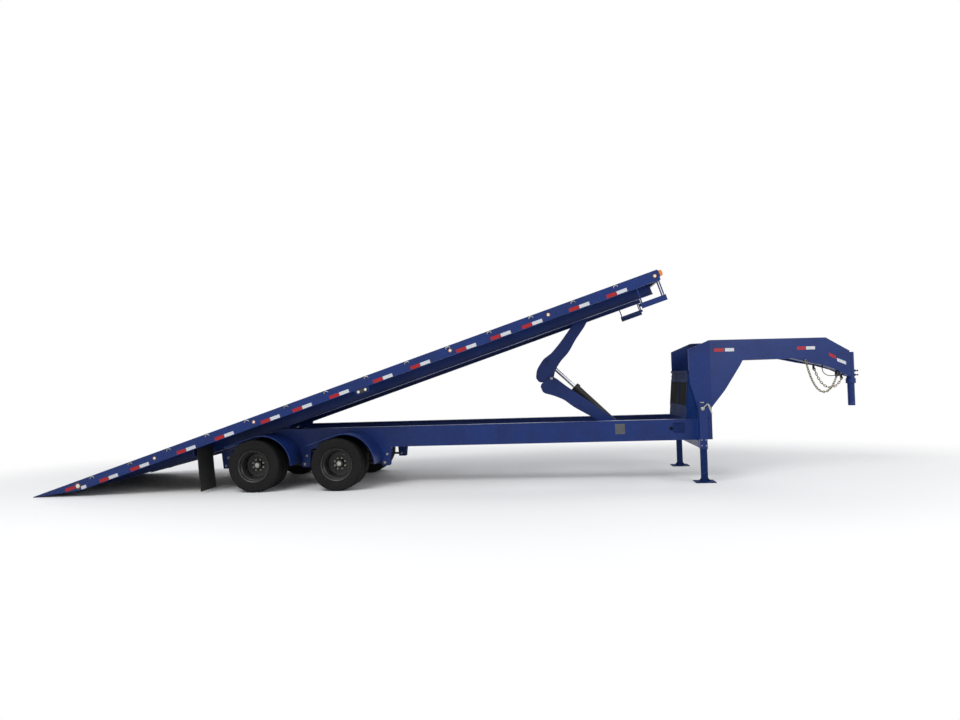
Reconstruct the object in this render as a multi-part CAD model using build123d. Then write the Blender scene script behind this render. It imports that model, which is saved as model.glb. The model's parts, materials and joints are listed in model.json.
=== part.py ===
from build123d import *
import math
import os

# A gooseneck deckover tilt trailer, parked on its two jack legs with the bed at full tilt.
# Millimetres. +X runs forward to the coupler, +Y to the off side, +Z up, and the ground is z = 0.
# While the pieces are made, x = 0 is the rear axle. The last step centres the whole trailer on x = 0.

# Wheels and axles
tyre_r = 383.5
tyre_sides = 28
rim_sides = 16
drum_sides = 12
tyre_w = 208.0
tyre_shoulder_in = 26.0
tyre_shoulder_drop = 52.0
tyre_bead_in = 22.0
tyre_bead_flare = 61.0
rim_lip_r = 234.0
bead_r = 222.0
rim_inner_r = 208.0
rim_side_in = 8.0
rim_lip_run = 12.0
dual_pitch = 254.0
outer_tyre_y = 1108.0
inner_tyre_y = outer_tyre_y - dual_pitch
axle_spacing = 1245.0
axle_z = tyre_r
axle_xs = {"rear": 0.0, "front": axle_spacing}
axle_tube_r = 63.5
spindle_r = 38.0
spindle_gap = 0.3
spindle_root_y = 730.0
hub_end_y = 1074.0
hub_r = 76.0
hub_root_gap = 8.0
hub_cap_t = 14.0
drum_r = 158.0
drum_y = (-950.0, -742.0)
drum_t = 13.0
backing_y = (-735.0, -723.0)
backing_in = 4.0
axle_root_in = 6.0
spindle_end_in = 16.0
disc_y = (outer_tyre_y + inner_tyre_y) / 2
disc_t = 12.0
dish_past = 6.0

# Main frame
rail_bottom = 580.0
rail_top = 885.0
rail_y = 700.0
rail_flange = 100.0
web_t = 10.0
flange_t = 14.0
rail_rear_x = -620.0
rail_front_x = 6712.0
cross_section = (76.0, 150.0)
frame_cross_xs = (-420.0, 640.0, 1500.0, 2300.0, 3100.0, 3650.0, 5700.0, 6180.0)

# Bed, laid out flat and then turned up about its pivot shaft
pivot_x = 242.0
pivot_z = 800.0
tilt_deg = 17.95
bed_gap = 6.0
bed_half_w = 1295.5
bed_length = 9752.0
bed_depth = 270.0
plank_t = 38.0
deck_z = rail_top + bed_gap + bed_depth
beam_top = deck_z - plank_t
beam_bottom = rail_top + bed_gap
beam_y = 650.0
beam_flange = 96.0
bed_rear_x = -3438.0
bed_front_x = bed_rear_x + bed_length
side_depth = 150.0
side_t = 6.0
side_flange = 50.0
knife_length = 760.0
knife_tip_t = 8.0
tail_plate_length = 1100.0
tail_plate_t = 6.0
bed_cross_pitch = 406.0
first_cross = 90.0
bed_cross_depth = 76.0
bed_cross_flange = 38.0
pivot_shaft_r = 30.0
pivot_ear_r = 62.0
pivot_ear_t = 18.0

# Hoist: two folding arms and one cylinder between them
hoist_base = (5390.0, 785.0)
elbow = (4408.0, 1535.0)
hoist_head = (4970.0, 2520.0)
rod_eye = (4370.0, 1790.0)
hoist_pin_r = 25.0
hoist_pin_gap = 0.3
lower_arm_y = (178.0, 198.0)
upper_arm_y = (148.0, 168.0)
barrel_r = 60.0
barrel_length = 874.0
rod_r = 30.0
cylinder_eye_r = 55.0
cylinder_eye_w = 70.0
arm_tube_r = 34.0
arm_boss_r = 48.0

# Gooseneck
neck_top = 2029.0
neck_beam_depth = 302.0
neck_flange = 110.0
neck_flange_t = 14.0
neck_web_t = 12.0
neck_slope_back = 367.0
neck_nose_drop = 201.0
# The neck beam's underside and the gusset's free edge, as (back from the nose or ahead of the riser, drop)
neck_under = ((912.0, 302.0), (648.0, 370.0), (429.0, 415.0), (212.0, 490.0), (0.0, 599.0))
gusset_edge = ((528.0, 0.0), (482.0, 77.0), (225.0, 437.0), (0.0, 687.0))
riser_rear_x = 6403.0
riser_front_x = 6712.0
riser_t = 16.0
riser_proud = 6.0
# The riser's rear edge, as how far its ends lie below the neck's top, and the edge from there down to the
# rail, as (ahead of the rear edge, up from the rail)
riser_back = (369.0, 128.0)
riser_edge = ((132.0, 0.0), (121.0, 55.0), (61.0, 349.0), (9.0, 515.0))
coupler_x = 8962.0
neck_end_x = 8912.0
neck_end_y = 95.0
coupler_outer_r = 57.0
coupler_inner_r = 51.0
coupler_top = 1800.0
coupler_gap = 0.3
coupler_cap_t = 12.0
coupler_inner_in = 80.0
collar_up = 14.0
bolt_reach = 56.0
bolt_root = 3.0
bolt_r = 11.0
bolt_ups = (48.0, 112.0)
coupler_collar = (1322.0, 1400.0)
coupler_bottom = 985.0
ball_r = 30.0
ball_depth = 60.0

# Jacks
jack_x = 6525.0
jack_y = 930.0
jack_tube = 102.0
jack_leg = 84.0
jack_tube_z = (470.0, 1125.0)
jack_foot = 280.0
jack_foot_depth = 252.0
jack_leg_top = 700.0
jack_cap_t = 20.0
jack_beam = (100.0, 96.0)
jack_foot_t = 12.0

# Side lamps: three places measured back from the bed's front end, three measured ahead from its tail
lamp_backs = (60.0, 1630.0, 3110.0)
lamp_aheads = (3582.0, 1982.0, 722.0)
lamp_xs = [bed_front_x - back for back in lamp_backs] + [bed_rear_x + ahead for ahead in lamp_aheads]
lamp_r = 32.0
lamp_sides = 10
lamp_drop = 75.0
lamp_z = deck_z - lamp_drop
lamp_proud = 3.0
lamp_sunk = 22.0

# How far a cutting shape runs past what it cuts, and how far past when it trims a piece's end
cut_past = 1.0
trim_past = 300.0

tilt = math.radians(tilt_deg)


# Shapes that many pieces share


def block(x0, x1, y0, y1, z0, z1):
    middle = Pos((x0 + x1) / 2, (y0 + y1) / 2, (z0 + z1) / 2)
    return middle * Box(abs(x1 - x0), abs(y1 - y0), abs(z1 - z0))


def plate_xz(points, y0, y1):
    """An upright lengthwise plate from its side outline."""
    outline = Polyline([(x, y0, z) for x, z in points], close=True)
    return extrude(make_face(outline), amount=y1 - y0, dir=(0, 1, 0))


def plate_yz(points, x0, x1):
    """A section across the trailer, run along it."""
    outline = Polyline([(x0, y, z) for y, z in points], close=True)
    return extrude(make_face(outline), amount=x1 - x0, dir=(1, 0, 0))


def plate_xy(points, z0, z1):
    """A level plate from its plan."""
    outline = Polyline([(x, y, z0) for x, y in points], close=True)
    return extrude(make_face(outline), amount=z1 - z0, dir=(0, 0, 1))


def bar(start, end, radius, sides=12):
    """A small bar between two points, with a few flat sides to keep its mesh light."""
    run = Vector(*end) - Vector(*start)
    section = Plane(origin=start, z_dir=run) * RegularPolygon(radius, sides)
    return extrude(section, amount=run.length, dir=run.normalized())


def bent_bar(points, radius, bends):
    """A six-sided bar along straight runs with a rounded bend at each corner."""
    path = FilletPolyline(*points, radius=bends)
    return sweep(Plane(origin=path @ 0, z_dir=path % 0) * RegularPolygon(radius, 6), path=path)


def oval_y(centre, length, height, y0, y1):
    """An oval pad facing sideways."""
    x, z = centre
    reach = (length - height) / 2
    pad = block(x - reach, x + reach, y0, y1, z - height / 2, z + height / 2)
    return pad + round_y((x - reach, z), height / 2, y0, y1) + round_y((x + reach, z), height / 2, y0, y1)


def shaft_y(centre, radius, y0, y1):
    x, z = centre
    return Pos(x, (y0 + y1) / 2, z) * Rot(90, 0, 0) * Cylinder(radius, abs(y1 - y0))


def rings_y(stations, sides):
    """A many-sided solid along Y, flat side down: each station is a y and its distance to a flat."""
    turns = [2 * math.pi * (corner + 0.5) / sides for corner in range(sides)]
    rings = []
    for y, flat in stations:
        reach = flat / math.cos(math.pi / sides)
        rings.append([Vector(reach * math.sin(turn), y, -reach * math.cos(turn)) for turn in turns])
    outlines = [rings[0], rings[-1]]
    for ring, following in zip(rings, rings[1:]):
        for here in range(sides):
            there = (here + 1) % sides
            outlines.append([ring[here], ring[there], following[there], following[here]])
    solid = Solid(Shell([Face(Wire.make_polygon(outline)) for outline in outlines]))
    return solid if solid.volume > 0 else -solid


def round_y(centre, radius, y0, y1, sides=12):
    """A small round piece along Y, with a few flat sides to keep its mesh light."""
    x, z = centre
    return Pos(x, 0, z) * rings_y([(y0, radius), (y1, radius)], sides)


def post_z(x, y, radius, z0, z1):
    return Pos(x, y, (z0 + z1) / 2) * Cylinder(radius, z1 - z0)


def both_sides(shape):
    """The piece and its mirror image across the trailer's centre plane."""
    return [shape, mirror(shape, about=Plane.XZ)]


def on_bed(shapes):
    """Pieces laid out on the flat bed, turned up to full tilt."""
    axis = Axis((pivot_x, 0, pivot_z), (0, -1, 0))
    return [shape.rotate(axis, tilt_deg) for shape in shapes]


# Main frame


def taper_z(x):
    """The slope behind the pivot that the tilted bed beams lie along."""
    lower_gap = (beam_bottom - pivot_z - bed_gap) / math.cos(tilt)
    return pivot_z + lower_gap + (x - pivot_x) * math.tan(tilt)


def make_rail():
    break_x = pivot_x + (rail_top - taper_z(pivot_x)) / math.tan(tilt)
    rear_z = taper_z(rail_rear_x)
    web = plate_xz(
        [(rail_rear_x, rail_bottom), (rail_front_x, rail_bottom), (rail_front_x, rail_top),
         (break_x, rail_top), (rail_rear_x, rear_z)], -rail_y, -rail_y + web_t)
    top = plate_xz(
        [(rail_front_x, rail_top), (break_x, rail_top), (rail_rear_x, rear_z),
         (rail_rear_x, rear_z - flange_t), (break_x, rail_top - flange_t),
         (rail_front_x, rail_top - flange_t)], -rail_y, -rail_y + rail_flange)
    bottom = block(rail_rear_x, rail_front_x, -rail_y, -rail_y + rail_flange,
                   rail_bottom, rail_bottom + flange_t)
    return web + top + bottom


def make_frame_cross(x):
    width, depth = cross_section
    z0 = rail_bottom + flange_t
    depth = min(depth, taper_z(x) - z0 - 2 * flange_t)
    reach = rail_y - web_t
    points = [(x, z0), (x + width, z0), (x + width, z0 + web_t), (x + web_t, z0 + web_t),
              (x + web_t, z0 + depth - web_t), (x + width, z0 + depth - web_t),
              (x + width, z0 + depth), (x, z0 + depth)]
    return plate_xz(points, -reach, reach)


def make_pivot_shaft():
    """The bed turns on this shaft, which runs through both rails' webs."""
    return shaft_y((pivot_x, pivot_z), pivot_shaft_r, -rail_y + web_t, rail_y - web_t)


# Wheels, axles and springs


def make_tyre(centre_y):
    half = tyre_w / 2
    tread_half, bead_half = half - tyre_shoulder_in, half - tyre_bead_in
    wall_r = tyre_r - tyre_shoulder_drop
    throat_r = wall_r - tyre_bead_flare
    outer = rings_y([(-half, wall_r), (-tread_half, tyre_r), (tread_half, tyre_r), (half, wall_r)],
                    tyre_sides)
    inner = rings_y([(-half - cut_past, throat_r), (-bead_half, bead_r), (bead_half, bead_r),
                     (half + cut_past, throat_r)], rim_sides)
    return Pos(0, centre_y, 0) * (outer - inner)


def make_rim(centre_y):
    """The rim's barrel: flared lips, bead seats that the tyre sits on, and an open middle."""
    half = tyre_w / 2 - rim_side_in
    seat = half - rim_lip_run
    outer = rings_y([(-half, rim_lip_r), (-seat, bead_r), (seat, bead_r), (half, rim_lip_r)], rim_sides)
    inner = rings_y([(-half - cut_past, rim_inner_r), (half + cut_past, rim_inner_r)], rim_sides)
    return Pos(0, centre_y, 0) * (outer - inner)


def make_dish(centre_y, side):
    """A rim's disc against its twin's, and the cone that joins it to the barrel."""
    face = -disc_y
    back = face + side * disc_t
    deep = centre_y + side * dish_past
    outer = rings_y(sorted([(face, rim_inner_r - disc_t), (deep, rim_inner_r + disc_t / 2)]), rim_sides)
    past = deep + side * cut_past
    inner = rings_y(sorted([(back, rim_inner_r - 2 * disc_t), (past, rim_inner_r - disc_t / 2)]), rim_sides)
    return outer - inner


def make_wheel():
    """The near-side hub, brake drum and both rims of one axle end, around y."""
    rims = make_rim(-outer_tyre_y) + make_dish(-outer_tyre_y, -1)
    rims = rims + make_rim(-inner_tyre_y) + make_dish(-inner_tyre_y, 1)
    hub = round_y((0, 0), drum_r, *drum_y, drum_sides)
    hub -= round_y((0, 0), drum_r - drum_t, drum_y[0] + drum_t, drum_y[1] + cut_past, drum_sides)
    hub += round_y((0, 0), hub_r, -hub_end_y, -spindle_root_y - hub_root_gap)
    bore = shaft_y((0, 0), spindle_r + spindle_gap, -hub_end_y + hub_cap_t, -spindle_root_y)
    return (rims + hub) - bore


def make_axle(x):
    root, tip = spindle_root_y - axle_root_in, hub_end_y - spindle_end_in
    axle = round_y((x, axle_z), axle_tube_r, -root, root) + shaft_y((x, axle_z), spindle_r, -tip, tip)
    for backing in both_sides(round_y((x, axle_z), drum_r - backing_in, *backing_y, drum_sides)):
        axle += backing
    return axle


# Springs and hangers
spring_y = 650.0
spring_w = 76.0
spring_half = 596.0
spring_rise = 34.0
spring_flat = 0.88
leaf_step = 0.16
leaf_t = 11.0
leaf_count = 5
spring_seat = 12.0
seat_half = 60.0
seat_bite = 2.0
hanger_xs = (-axle_spacing / 2, axle_spacing / 2, 1.5 * axle_spacing)
hanger_half_w = 60.0
hanger_flare = 30.0
cheek_gap = 4.0
cheek_t = 8.0
hanger_roof_t = 10.0
hanger_pad_in = 10.0
hanger_z = 300.0


def leaf_rise(reach):
    """How far the leaves have curved up at this distance from the axle; the slipper ends are flat."""
    return spring_rise * min(1.0, reach / (spring_flat * spring_half)) ** 2


def make_spring(x):
    """A slipper spring in one outline: leaves that shorten downwards, over a seat on the axle tube."""
    base = axle_z + axle_tube_r + spring_seat
    top = base + leaf_count * leaf_t
    reaches = [spring_half * (1 - leaf_step * index) for index in range(leaf_count)]
    stations = (0.0, spring_half * 0.5, spring_half * spring_flat, spring_half)
    right = [(reach, top + leaf_rise(reach)) for reach in stations]
    for index, reach in enumerate(reaches):
        low = top - (index + 1) * leaf_t
        right.append((reach, low + leaf_rise(reach)))
        if index + 1 < leaf_count:
            right.append((reaches[index + 1], low + leaf_rise(reaches[index + 1])))
    right.append((seat_half, base))
    outline = [(x + px, pz) for px, pz in right] + [(x - px, pz) for px, pz in reversed(right) if px > 0]
    y0, y1 = -spring_y - spring_w / 2, -spring_y + spring_w / 2
    stack = plate_xz(outline, y0, y1)
    seat = block(x - seat_half, x + seat_half, y0, y1, axle_z, base + seat_bite)
    seat -= round_y((x, axle_z), axle_tube_r, y0 - cut_past, y1 + cut_past)
    return stack + seat


def make_hanger(x):
    """Two cheek plates under the rail with a slipper slot between them."""
    half = hanger_half_w + hanger_flare
    points = [(x - half, rail_bottom), (x + half, rail_bottom), (x + hanger_half_w, hanger_z),
              (x - hanger_half_w, hanger_z)]
    cheeks = None
    for side in (-1, 1):
        y_in = -spring_y + side * (spring_w / 2 + cheek_gap)
        cheek = plate_xz(points, *sorted((y_in, y_in + side * cheek_t)))
        cheeks = cheek if cheeks is None else cheeks + cheek
    reach = spring_w / 2 + cheek_gap + cheek_t
    roof = block(x - half, x + half, -spring_y - reach, -spring_y + reach, rail_bottom - hanger_roof_t,
                 rail_bottom)
    leaf_top = axle_z + axle_tube_r + spring_seat + leaf_count * leaf_t + spring_rise
    pad_half = half - hanger_pad_in
    pad = block(x - pad_half, x + pad_half, -spring_y - spring_w / 2, -spring_y + spring_w / 2,
                leaf_top, rail_bottom - hanger_roof_t)
    return cheeks + roof + pad


# Fenders
fender_r = 450.0
fender_shift = 120.0
fender_t = 4.0
fender_out_y = 1212.0
fender_slope_deg = 18.0
fender_tail = 440.0
fender_flats = 12


def make_fender(x):
    """A rolled sheet: a round nose ahead of the wheel, then a straight slope over it to the rear."""
    cx, cz = x + fender_shift, axle_z
    slope = math.radians(fender_slope_deg)
    turn = math.radians(90) + slope

    def path(radius):
        arc = [(cx + radius * math.cos(turn * step / fender_flats),
                cz + radius * math.sin(turn * step / fender_flats))
               for step in range(fender_flats + 1)]
        tail_x, tail_z = arc[-1]
        return arc + [(tail_x - fender_tail * math.cos(slope), tail_z - fender_tail * math.sin(slope))]

    return plate_xz(path(fender_r) + path(fender_r - fender_t)[::-1], -fender_out_y, -rail_y)


# Bed


def side_profile():
    """The side rail from beside: full depth, then the knife edge to the tail's tip."""
    return [(bed_rear_x, deck_z), (bed_rear_x, deck_z - knife_tip_t),
            (bed_rear_x + knife_length, deck_z - side_depth),
            (bed_front_x, deck_z - side_depth), (bed_front_x, deck_z)]


def make_side_rail():
    y0, y1 = -bed_half_w + side_t, -bed_half_w + side_flange
    web = plate_xz(side_profile(), -bed_half_w, y0)
    for x in lamp_xs:
        web -= round_y((x, lamp_z), lamp_r, -bed_half_w - cut_past, y0 + cut_past, lamp_sides)
    top = block(bed_rear_x + tail_plate_length, bed_front_x - side_t, y0, y1, deck_z - side_t, deck_z)
    bottom = block(bed_rear_x + knife_length, bed_front_x - side_t, y0, y1, deck_z - side_depth,
                   deck_z - side_depth + side_t)
    return web + top + bottom


# How far the beam's front end stays behind the header, and how long its taper is
beam_front_in = 60.0
beam_taper = 1500.0
beam_top_t = 10.0
beam_low_t = 12.0


def make_bed_beam():
    """A deep beam under the planks, which tapers up to the side rail's depth at its rear end."""
    x0, x1 = bed_rear_x + knife_length, bed_front_x - beam_front_in
    half = beam_flange / 2
    low = beam_bottom
    taper_end = x0 + beam_taper
    start_low = deck_z - side_depth
    web = plate_xz([(x0, start_low), (taper_end, low), (x1, low), (x1, beam_top), (x0, beam_top)],
                   -beam_y - web_t / 2, -beam_y + web_t / 2)
    top = block(x0, x1, -beam_y - half, -beam_y + half, beam_top - beam_top_t, beam_top)
    edge = [(x0, start_low), (taper_end, low), (x1, low)]
    edge += [(x, z + beam_low_t) for x, z in reversed(edge)]
    bottom = plate_xz(edge, -beam_y - half, -beam_y + half)
    return web + top + bottom


hoist_bay = (3900.0, 5560.0)
hoist_bay_half = 260.0
stringer_depth = 190.0
stringer_w = 50.0
bed_cross_t = 6.0


def make_bed_cross(x):
    """One crossmember, cut out where the beams pass, and left out across the hoist's bay."""
    reach = bed_half_w - side_t
    z1, z0 = beam_top, beam_top - bed_cross_depth
    web_x, tip_x = x + bed_cross_t, x + bed_cross_flange
    low, high = z0 + bed_cross_t, z1 - bed_cross_t
    points = [(x, z0), (tip_x, z0), (tip_x, low), (web_x, low), (web_x, high), (tip_x, high), (tip_x, z1),
              (x, z1)]
    inner = beam_y - beam_flange / 2
    outer = beam_y + beam_flange / 2
    spans = [(-reach, -outer), (outer, reach)]
    if hoist_bay[0] < x < hoist_bay[1]:
        bay = hoist_bay_half + stringer_w
        spans += [(-inner, -bay), (bay, inner)]
    else:
        spans += [(-inner, inner)]
    return [plate_xz(points, y0, y1) for y0, y1 in spans]


def make_bed_stringer():
    """The box beside the hoist bay."""
    return block(hoist_bay[0], hoist_bay[1], -hoist_bay_half - stringer_w, -hoist_bay_half,
                 beam_top - stringer_depth, beam_top)


plank_count = 10
plank_gap = 6.0
plank_clear = 4.0
plank_half = bed_half_w - side_flange - plank_clear


def make_planks():
    width = (2 * plank_half - plank_gap * (plank_count - 1)) / plank_count
    x0 = bed_rear_x + tail_plate_length + plank_clear
    x1 = bed_front_x - side_flange - plank_clear
    planks = []
    for index in range(plank_count):
        y0 = -plank_half + index * (width + plank_gap)
        planks.append(block(x0, x1, y0, y0 + width, beam_top, deck_z))
    return planks


tip_bar = 24.0


def make_tail_plate():
    """The steel approach plate over the knife edge, with a folded underside."""
    y = bed_half_w - side_t
    x0 = bed_rear_x
    x1 = bed_rear_x + tail_plate_length
    rise = side_depth - knife_tip_t

    def under(x):
        return deck_z - knife_tip_t - rise * (x - bed_rear_x) / knife_length

    inside = x0 + tip_bar
    return plate_xz([(x0, deck_z), (x1, deck_z), (x1, beam_top), (x1 - tail_plate_t, beam_top),
                     (x1 - tail_plate_t, deck_z - tail_plate_t), (inside, deck_z - tail_plate_t),
                     (inside, under(inside)), (x0, under(x0))], -y, y)


def make_header():
    """The channel across the bed's front end."""
    y = bed_half_w - side_t
    face = block(bed_front_x - side_t, bed_front_x, -y, y, deck_z - side_depth, deck_z)
    x0, x1, inner = bed_front_x - side_flange, bed_front_x - side_t, y - side_flange
    top = block(x0, x1, -inner, inner, deck_z - side_t, deck_z)
    low = block(x0, x1, -inner, inner, deck_z - side_depth, deck_z - side_depth + side_t)
    return face + top + low


ear_gap = 6.0
ear_half = 140.0


def make_pivot_ear():
    """A plate that hangs from the bed beam, inboard of the rail, with the pivot's bore."""
    y0 = -rail_y + rail_flange + ear_gap
    y1 = y0 + pivot_ear_t
    x, z = pivot_x, pivot_z
    root = beam_bottom + beam_low_t
    ear = plate_xz([(x - ear_half, root), (x + ear_half, root), (x + pivot_ear_r, z), (x - pivot_ear_r, z)],
                   y0, y1)
    ear += shaft_y((x, z), pivot_ear_r, y0, y1)
    web = block(x - ear_half, x + ear_half, y0, -beam_y + beam_flange / 2, beam_bottom, root)
    return ear + web - shaft_y((x, z), pivot_shaft_r + hoist_pin_gap, y0 - cut_past, y1 + cut_past)


step_length = 370.0
step_back = 374.0
step_rear_x = bed_front_x - step_back
step_drop = 364.0
step_top = deck_z - step_drop
step_height = 80.0
step_depth = 190.0
step_in = 5.5
step_out_y = bed_half_w - step_in
step_t = 6.0
step_lip = 40.0
step_bar = 16.0
step_bar_in = 24.0
step_far_bar = 24.0
step_bar_grip = 20.0


def make_step():
    """The tread at a front corner of the bed: a folded pan on three hanger bars."""
    x0, x1 = step_rear_x, step_rear_x + step_length
    y0, y1 = -step_out_y, -step_out_y + step_depth
    tread = block(x0, x1, y0, y1, step_top - step_t, step_top)
    tread += block(x0, x1, y0, y0 + step_t, step_top - step_height, step_top)
    tread += block(x0, x1, y1 - step_t, y1, step_top - step_lip, step_top)
    near, far = y0 + step_t, y1 - step_t
    bars = ((x1 - step_bar_in, near, near + step_bar), (x0 + step_bar_in, near, near + step_bar),
            (x1 - step_bar_in, far - step_far_bar, far))
    for x, low, high in bars:
        tread += block(x - step_bar / 2, x + step_bar / 2, low, high, step_top - step_bar_grip,
                       deck_z - side_depth)
    return tread


flap_top_x = -844.0
flap_top_z = 1011.0
flap_low = (-996.0, 388.0)
flap_t = 10.0
flap_clear = 8.0
flap_past_tyre = 100.0
flap_y = (rail_y + flap_clear, outer_tyre_y + flap_past_tyre)
flap_angle_t = 6.0
flap_toe = 20.0


def make_flap_hanger():
    """An angle under the crossmembers, from the beam to the side rail, that the flap hangs from."""
    y0, y1 = -bed_half_w + side_flange, -beam_y - web_t / 2
    x1, z0 = flap_top_x, flap_top_z
    upright = block(x1 - flap_angle_t / 2, x1 + flap_angle_t / 2, y0, y1, z0, beam_top - bed_cross_depth)
    return upright + block(x1 - flap_leg - tail_bar_t - flap_angle_t, x1 + flap_toe, y0, y1, z0,
                           z0 + flap_angle_t)


def make_flap():
    points = [(flap_top_x, flap_top_z), (flap_top_x + flap_t, flap_top_z),
              (flap_low[0] + flap_t, flap_low[1]), flap_low]
    return plate_xz(points, -flap_y[1], -flap_y[0])


def make_side_lamps():
    y = -bed_half_w
    return [round_y((x, lamp_z), lamp_r, y - lamp_proud, y + lamp_sunk, lamp_sides) for x in lamp_xs]


corner_lamp = (58.0, 40.0, 92.0)
corner_lamp_in = 2.0
corner_lamp_drop = 14.0
turn_lamp_back = 4505.0
turn_lamp_size = (165.0, 58.0)
turn_plate_t = 6.0
turn_plate_drop = 76.0
turn_plate_flare = (34.0, 6.0)
turn_lamp_up = 2.0
turn_pad_t = 14.0
turn_lens_t = 8.0
turn_lens_in = 6.0
tail_lamp_size = (165.0, 58.0)
tail_lamp_t = 22.0
tail_lamp_y = 1010.0
tail_bar_t = 8.0
tail_bar_drop = 96.0
tail_bar_z = flap_top_z - tail_bar_drop
tail_bar_lean = 24.0
flap_leg = 46.0


def make_corner_lamp():
    """The amber lamp that stands ahead of the header at a front corner of the bed."""
    length, width, height = corner_lamp
    y0 = -bed_half_w + corner_lamp_in
    z1 = deck_z - corner_lamp_drop
    x0, x1, z0 = bed_front_x, bed_front_x + length, z1 - height
    cut = height / 5
    return plate_xz([(x0, z0), (x1 - cut, z0), (x1, z0 + cut), (x1, z1 - cut), (x1 - cut, z1), (x0, z1)],
                    y0, y0 + width)


def make_turn_lamp_plate():
    """The trapezoid plate that hangs below the side rail for the turn lamp."""
    x = bed_front_x - turn_lamp_back
    z1 = deck_z - side_depth
    y0 = -bed_half_w + side_t
    top, low = [turn_lamp_size[0] / 2 + flare for flare in turn_plate_flare]
    return plate_xz([(x - top, z1), (x + top, z1), (x + low, z1 - turn_plate_drop),
                     (x - low, z1 - turn_plate_drop)], y0, y0 + turn_plate_t)


def make_turn_lamp():
    """An oval pad with a lens at each end."""
    x, z = bed_front_x - turn_lamp_back, deck_z - side_depth - turn_plate_drop / 2 + turn_lamp_up
    y1 = -bed_half_w + side_t
    y0 = y1 - turn_pad_t
    length, height = turn_lamp_size
    lamp = oval_y((x, z), length, height, y0, y1)
    lens_r = height / 2 - turn_lens_in
    for end in (-1, 1):
        lamp += round_y((x + end * (length - height) / 2, z), lens_r, y0 - turn_lens_t, y0)
    return lamp


def make_tail_bar():
    """The plate under the flap hanger that carries a tail lamp."""
    x1 = flap_top_x - flap_leg
    low_x = x1 - tail_bar_lean
    return plate_xz([(x1, flap_top_z), (low_x, tail_bar_z), (low_x - tail_bar_t, tail_bar_z),
                     (x1 - tail_bar_t, flap_top_z)],
                    -flap_y[1], -flap_y[0])


def make_tail_lamp():
    """A red oval lamp that faces rearwards."""
    length, height = tail_lamp_size
    lamp = oval_y((0, 0), length, height, 0, tail_lamp_t)
    lean = math.degrees(math.atan2(tail_bar_lean, flap_top_z - tail_bar_z))
    x1 = flap_top_x - flap_leg - tail_bar_t / math.cos(math.radians(lean)) - tail_bar_lean / 2
    return Pos(x1, -tail_lamp_y, (tail_bar_z + flap_top_z) / 2) * Rot(0, lean, 0) * Rot(0, 0, 90) * lamp


# Hoist


# Each arm's outline and its spreader tube, as (along from its lower pin towards its upper pin, across to
# the left)
upper_outline = [(-17, -41), (139, 8), (305, -1), (487, -47), (707, -48), (984, -80), (1175, -52),
                 (1124, 69), (905, 99), (557, 143), (349, 185), (206, 254), (15, 266), (-112, 216),
                 (-147, 127)]
lower_outline = [(1245, -49), (972, -38), (556, -53), (-18, -58), (-38, 34), (23, 68), (409, 124),
                 (696, 160), (888, 156), (1046, 195), (1212, 259), (1323, 187)]
upper_spreader = (792, 64)
lower_spreader = (618, 63)
eye_side_gap = 5.0
arm_boss_w = 30.0


def along_arm(low_pin, high_pin, points):
    """Outline points given along and across the line between an arm's pins."""
    length = math.dist(low_pin, high_pin)
    ux, uz = (high_pin[0] - low_pin[0]) / length, (high_pin[1] - low_pin[1]) / length
    return [(low_pin[0] + along * ux - across * uz, low_pin[1] + along * uz + across * ux)
            for along, across in points]


def make_upper_arm():
    """The upper arm: two boomerang plates, a spreader tube and the bushes at both ends."""
    y0, y1 = upper_arm_y
    outline = along_arm(elbow, hoist_head, upper_outline)
    spreader = along_arm(elbow, hoist_head, [upper_spreader])[0]
    arm = shaft_y(elbow, arm_tube_r, -y0, y0) + round_y(spreader, arm_tube_r, -y0, y0)
    for side in (-1, 1):
        low, high = sorted((side * y0, side * y1))
        pin_0, pin_1 = sorted((side * (cylinder_eye_w / 2 + eye_side_gap), side * y0))
        arm += plate_xz(outline, low, high) + shaft_y(rod_eye, hoist_pin_r, pin_0, pin_1)
        boss_0, boss_1 = sorted((side * (y0 - arm_boss_w), side * y0))
        arm += round_y(hoist_head, arm_boss_r, boss_0, boss_1)
    return arm - shaft_y(hoist_head, hoist_pin_r + hoist_pin_gap, -y1 - cut_past, y1 + cut_past)


def make_lower_arm():
    """The lower arm: two straight plates outside the upper arm's, joined by a spreader tube."""
    y0, y1 = lower_arm_y
    outline = along_arm(hoist_base, elbow, lower_outline)
    spreader = along_arm(hoist_base, elbow, [lower_spreader])[0]
    arm = round_y(spreader, arm_tube_r, -y0, y0)
    for side in (-1, 1):
        low, high = sorted((side * y0, side * y1))
        arm += plate_xz(outline, low, high)
    return arm - shaft_y(hoist_base, hoist_pin_r + hoist_pin_gap, -y1 - cut_past, y1 + cut_past)


def cylinder_pose(shape):
    """A piece made along +X from the base pin, turned to point at the rod's eye."""
    dx, dz = rod_eye[0] - hoist_base[0], rod_eye[1] - hoist_base[1]
    angle = math.degrees(math.atan2(dz, dx))
    return Pos(hoist_base[0], 0, hoist_base[1]) * Rot(0, -angle, 0) * shape


def rod_x(radius, x0, x1):
    return Pos((x0 + x1) / 2, 0, 0) * Rot(0, 90, 0) * Cylinder(radius, x1 - x0)


# Lengths along the cylinder from its base pin, and the gaps round the rod and round its eye's pin
barrel_root = 40.0
barrel_floor = 150.0
barrel_cap_length = 60.0
barrel_cap_up = 16.0
rod_tail = 520.0
rod_head_in = 30.0
rod_seal_gap = 1.0
rod_eye_gap = 3.0


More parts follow.
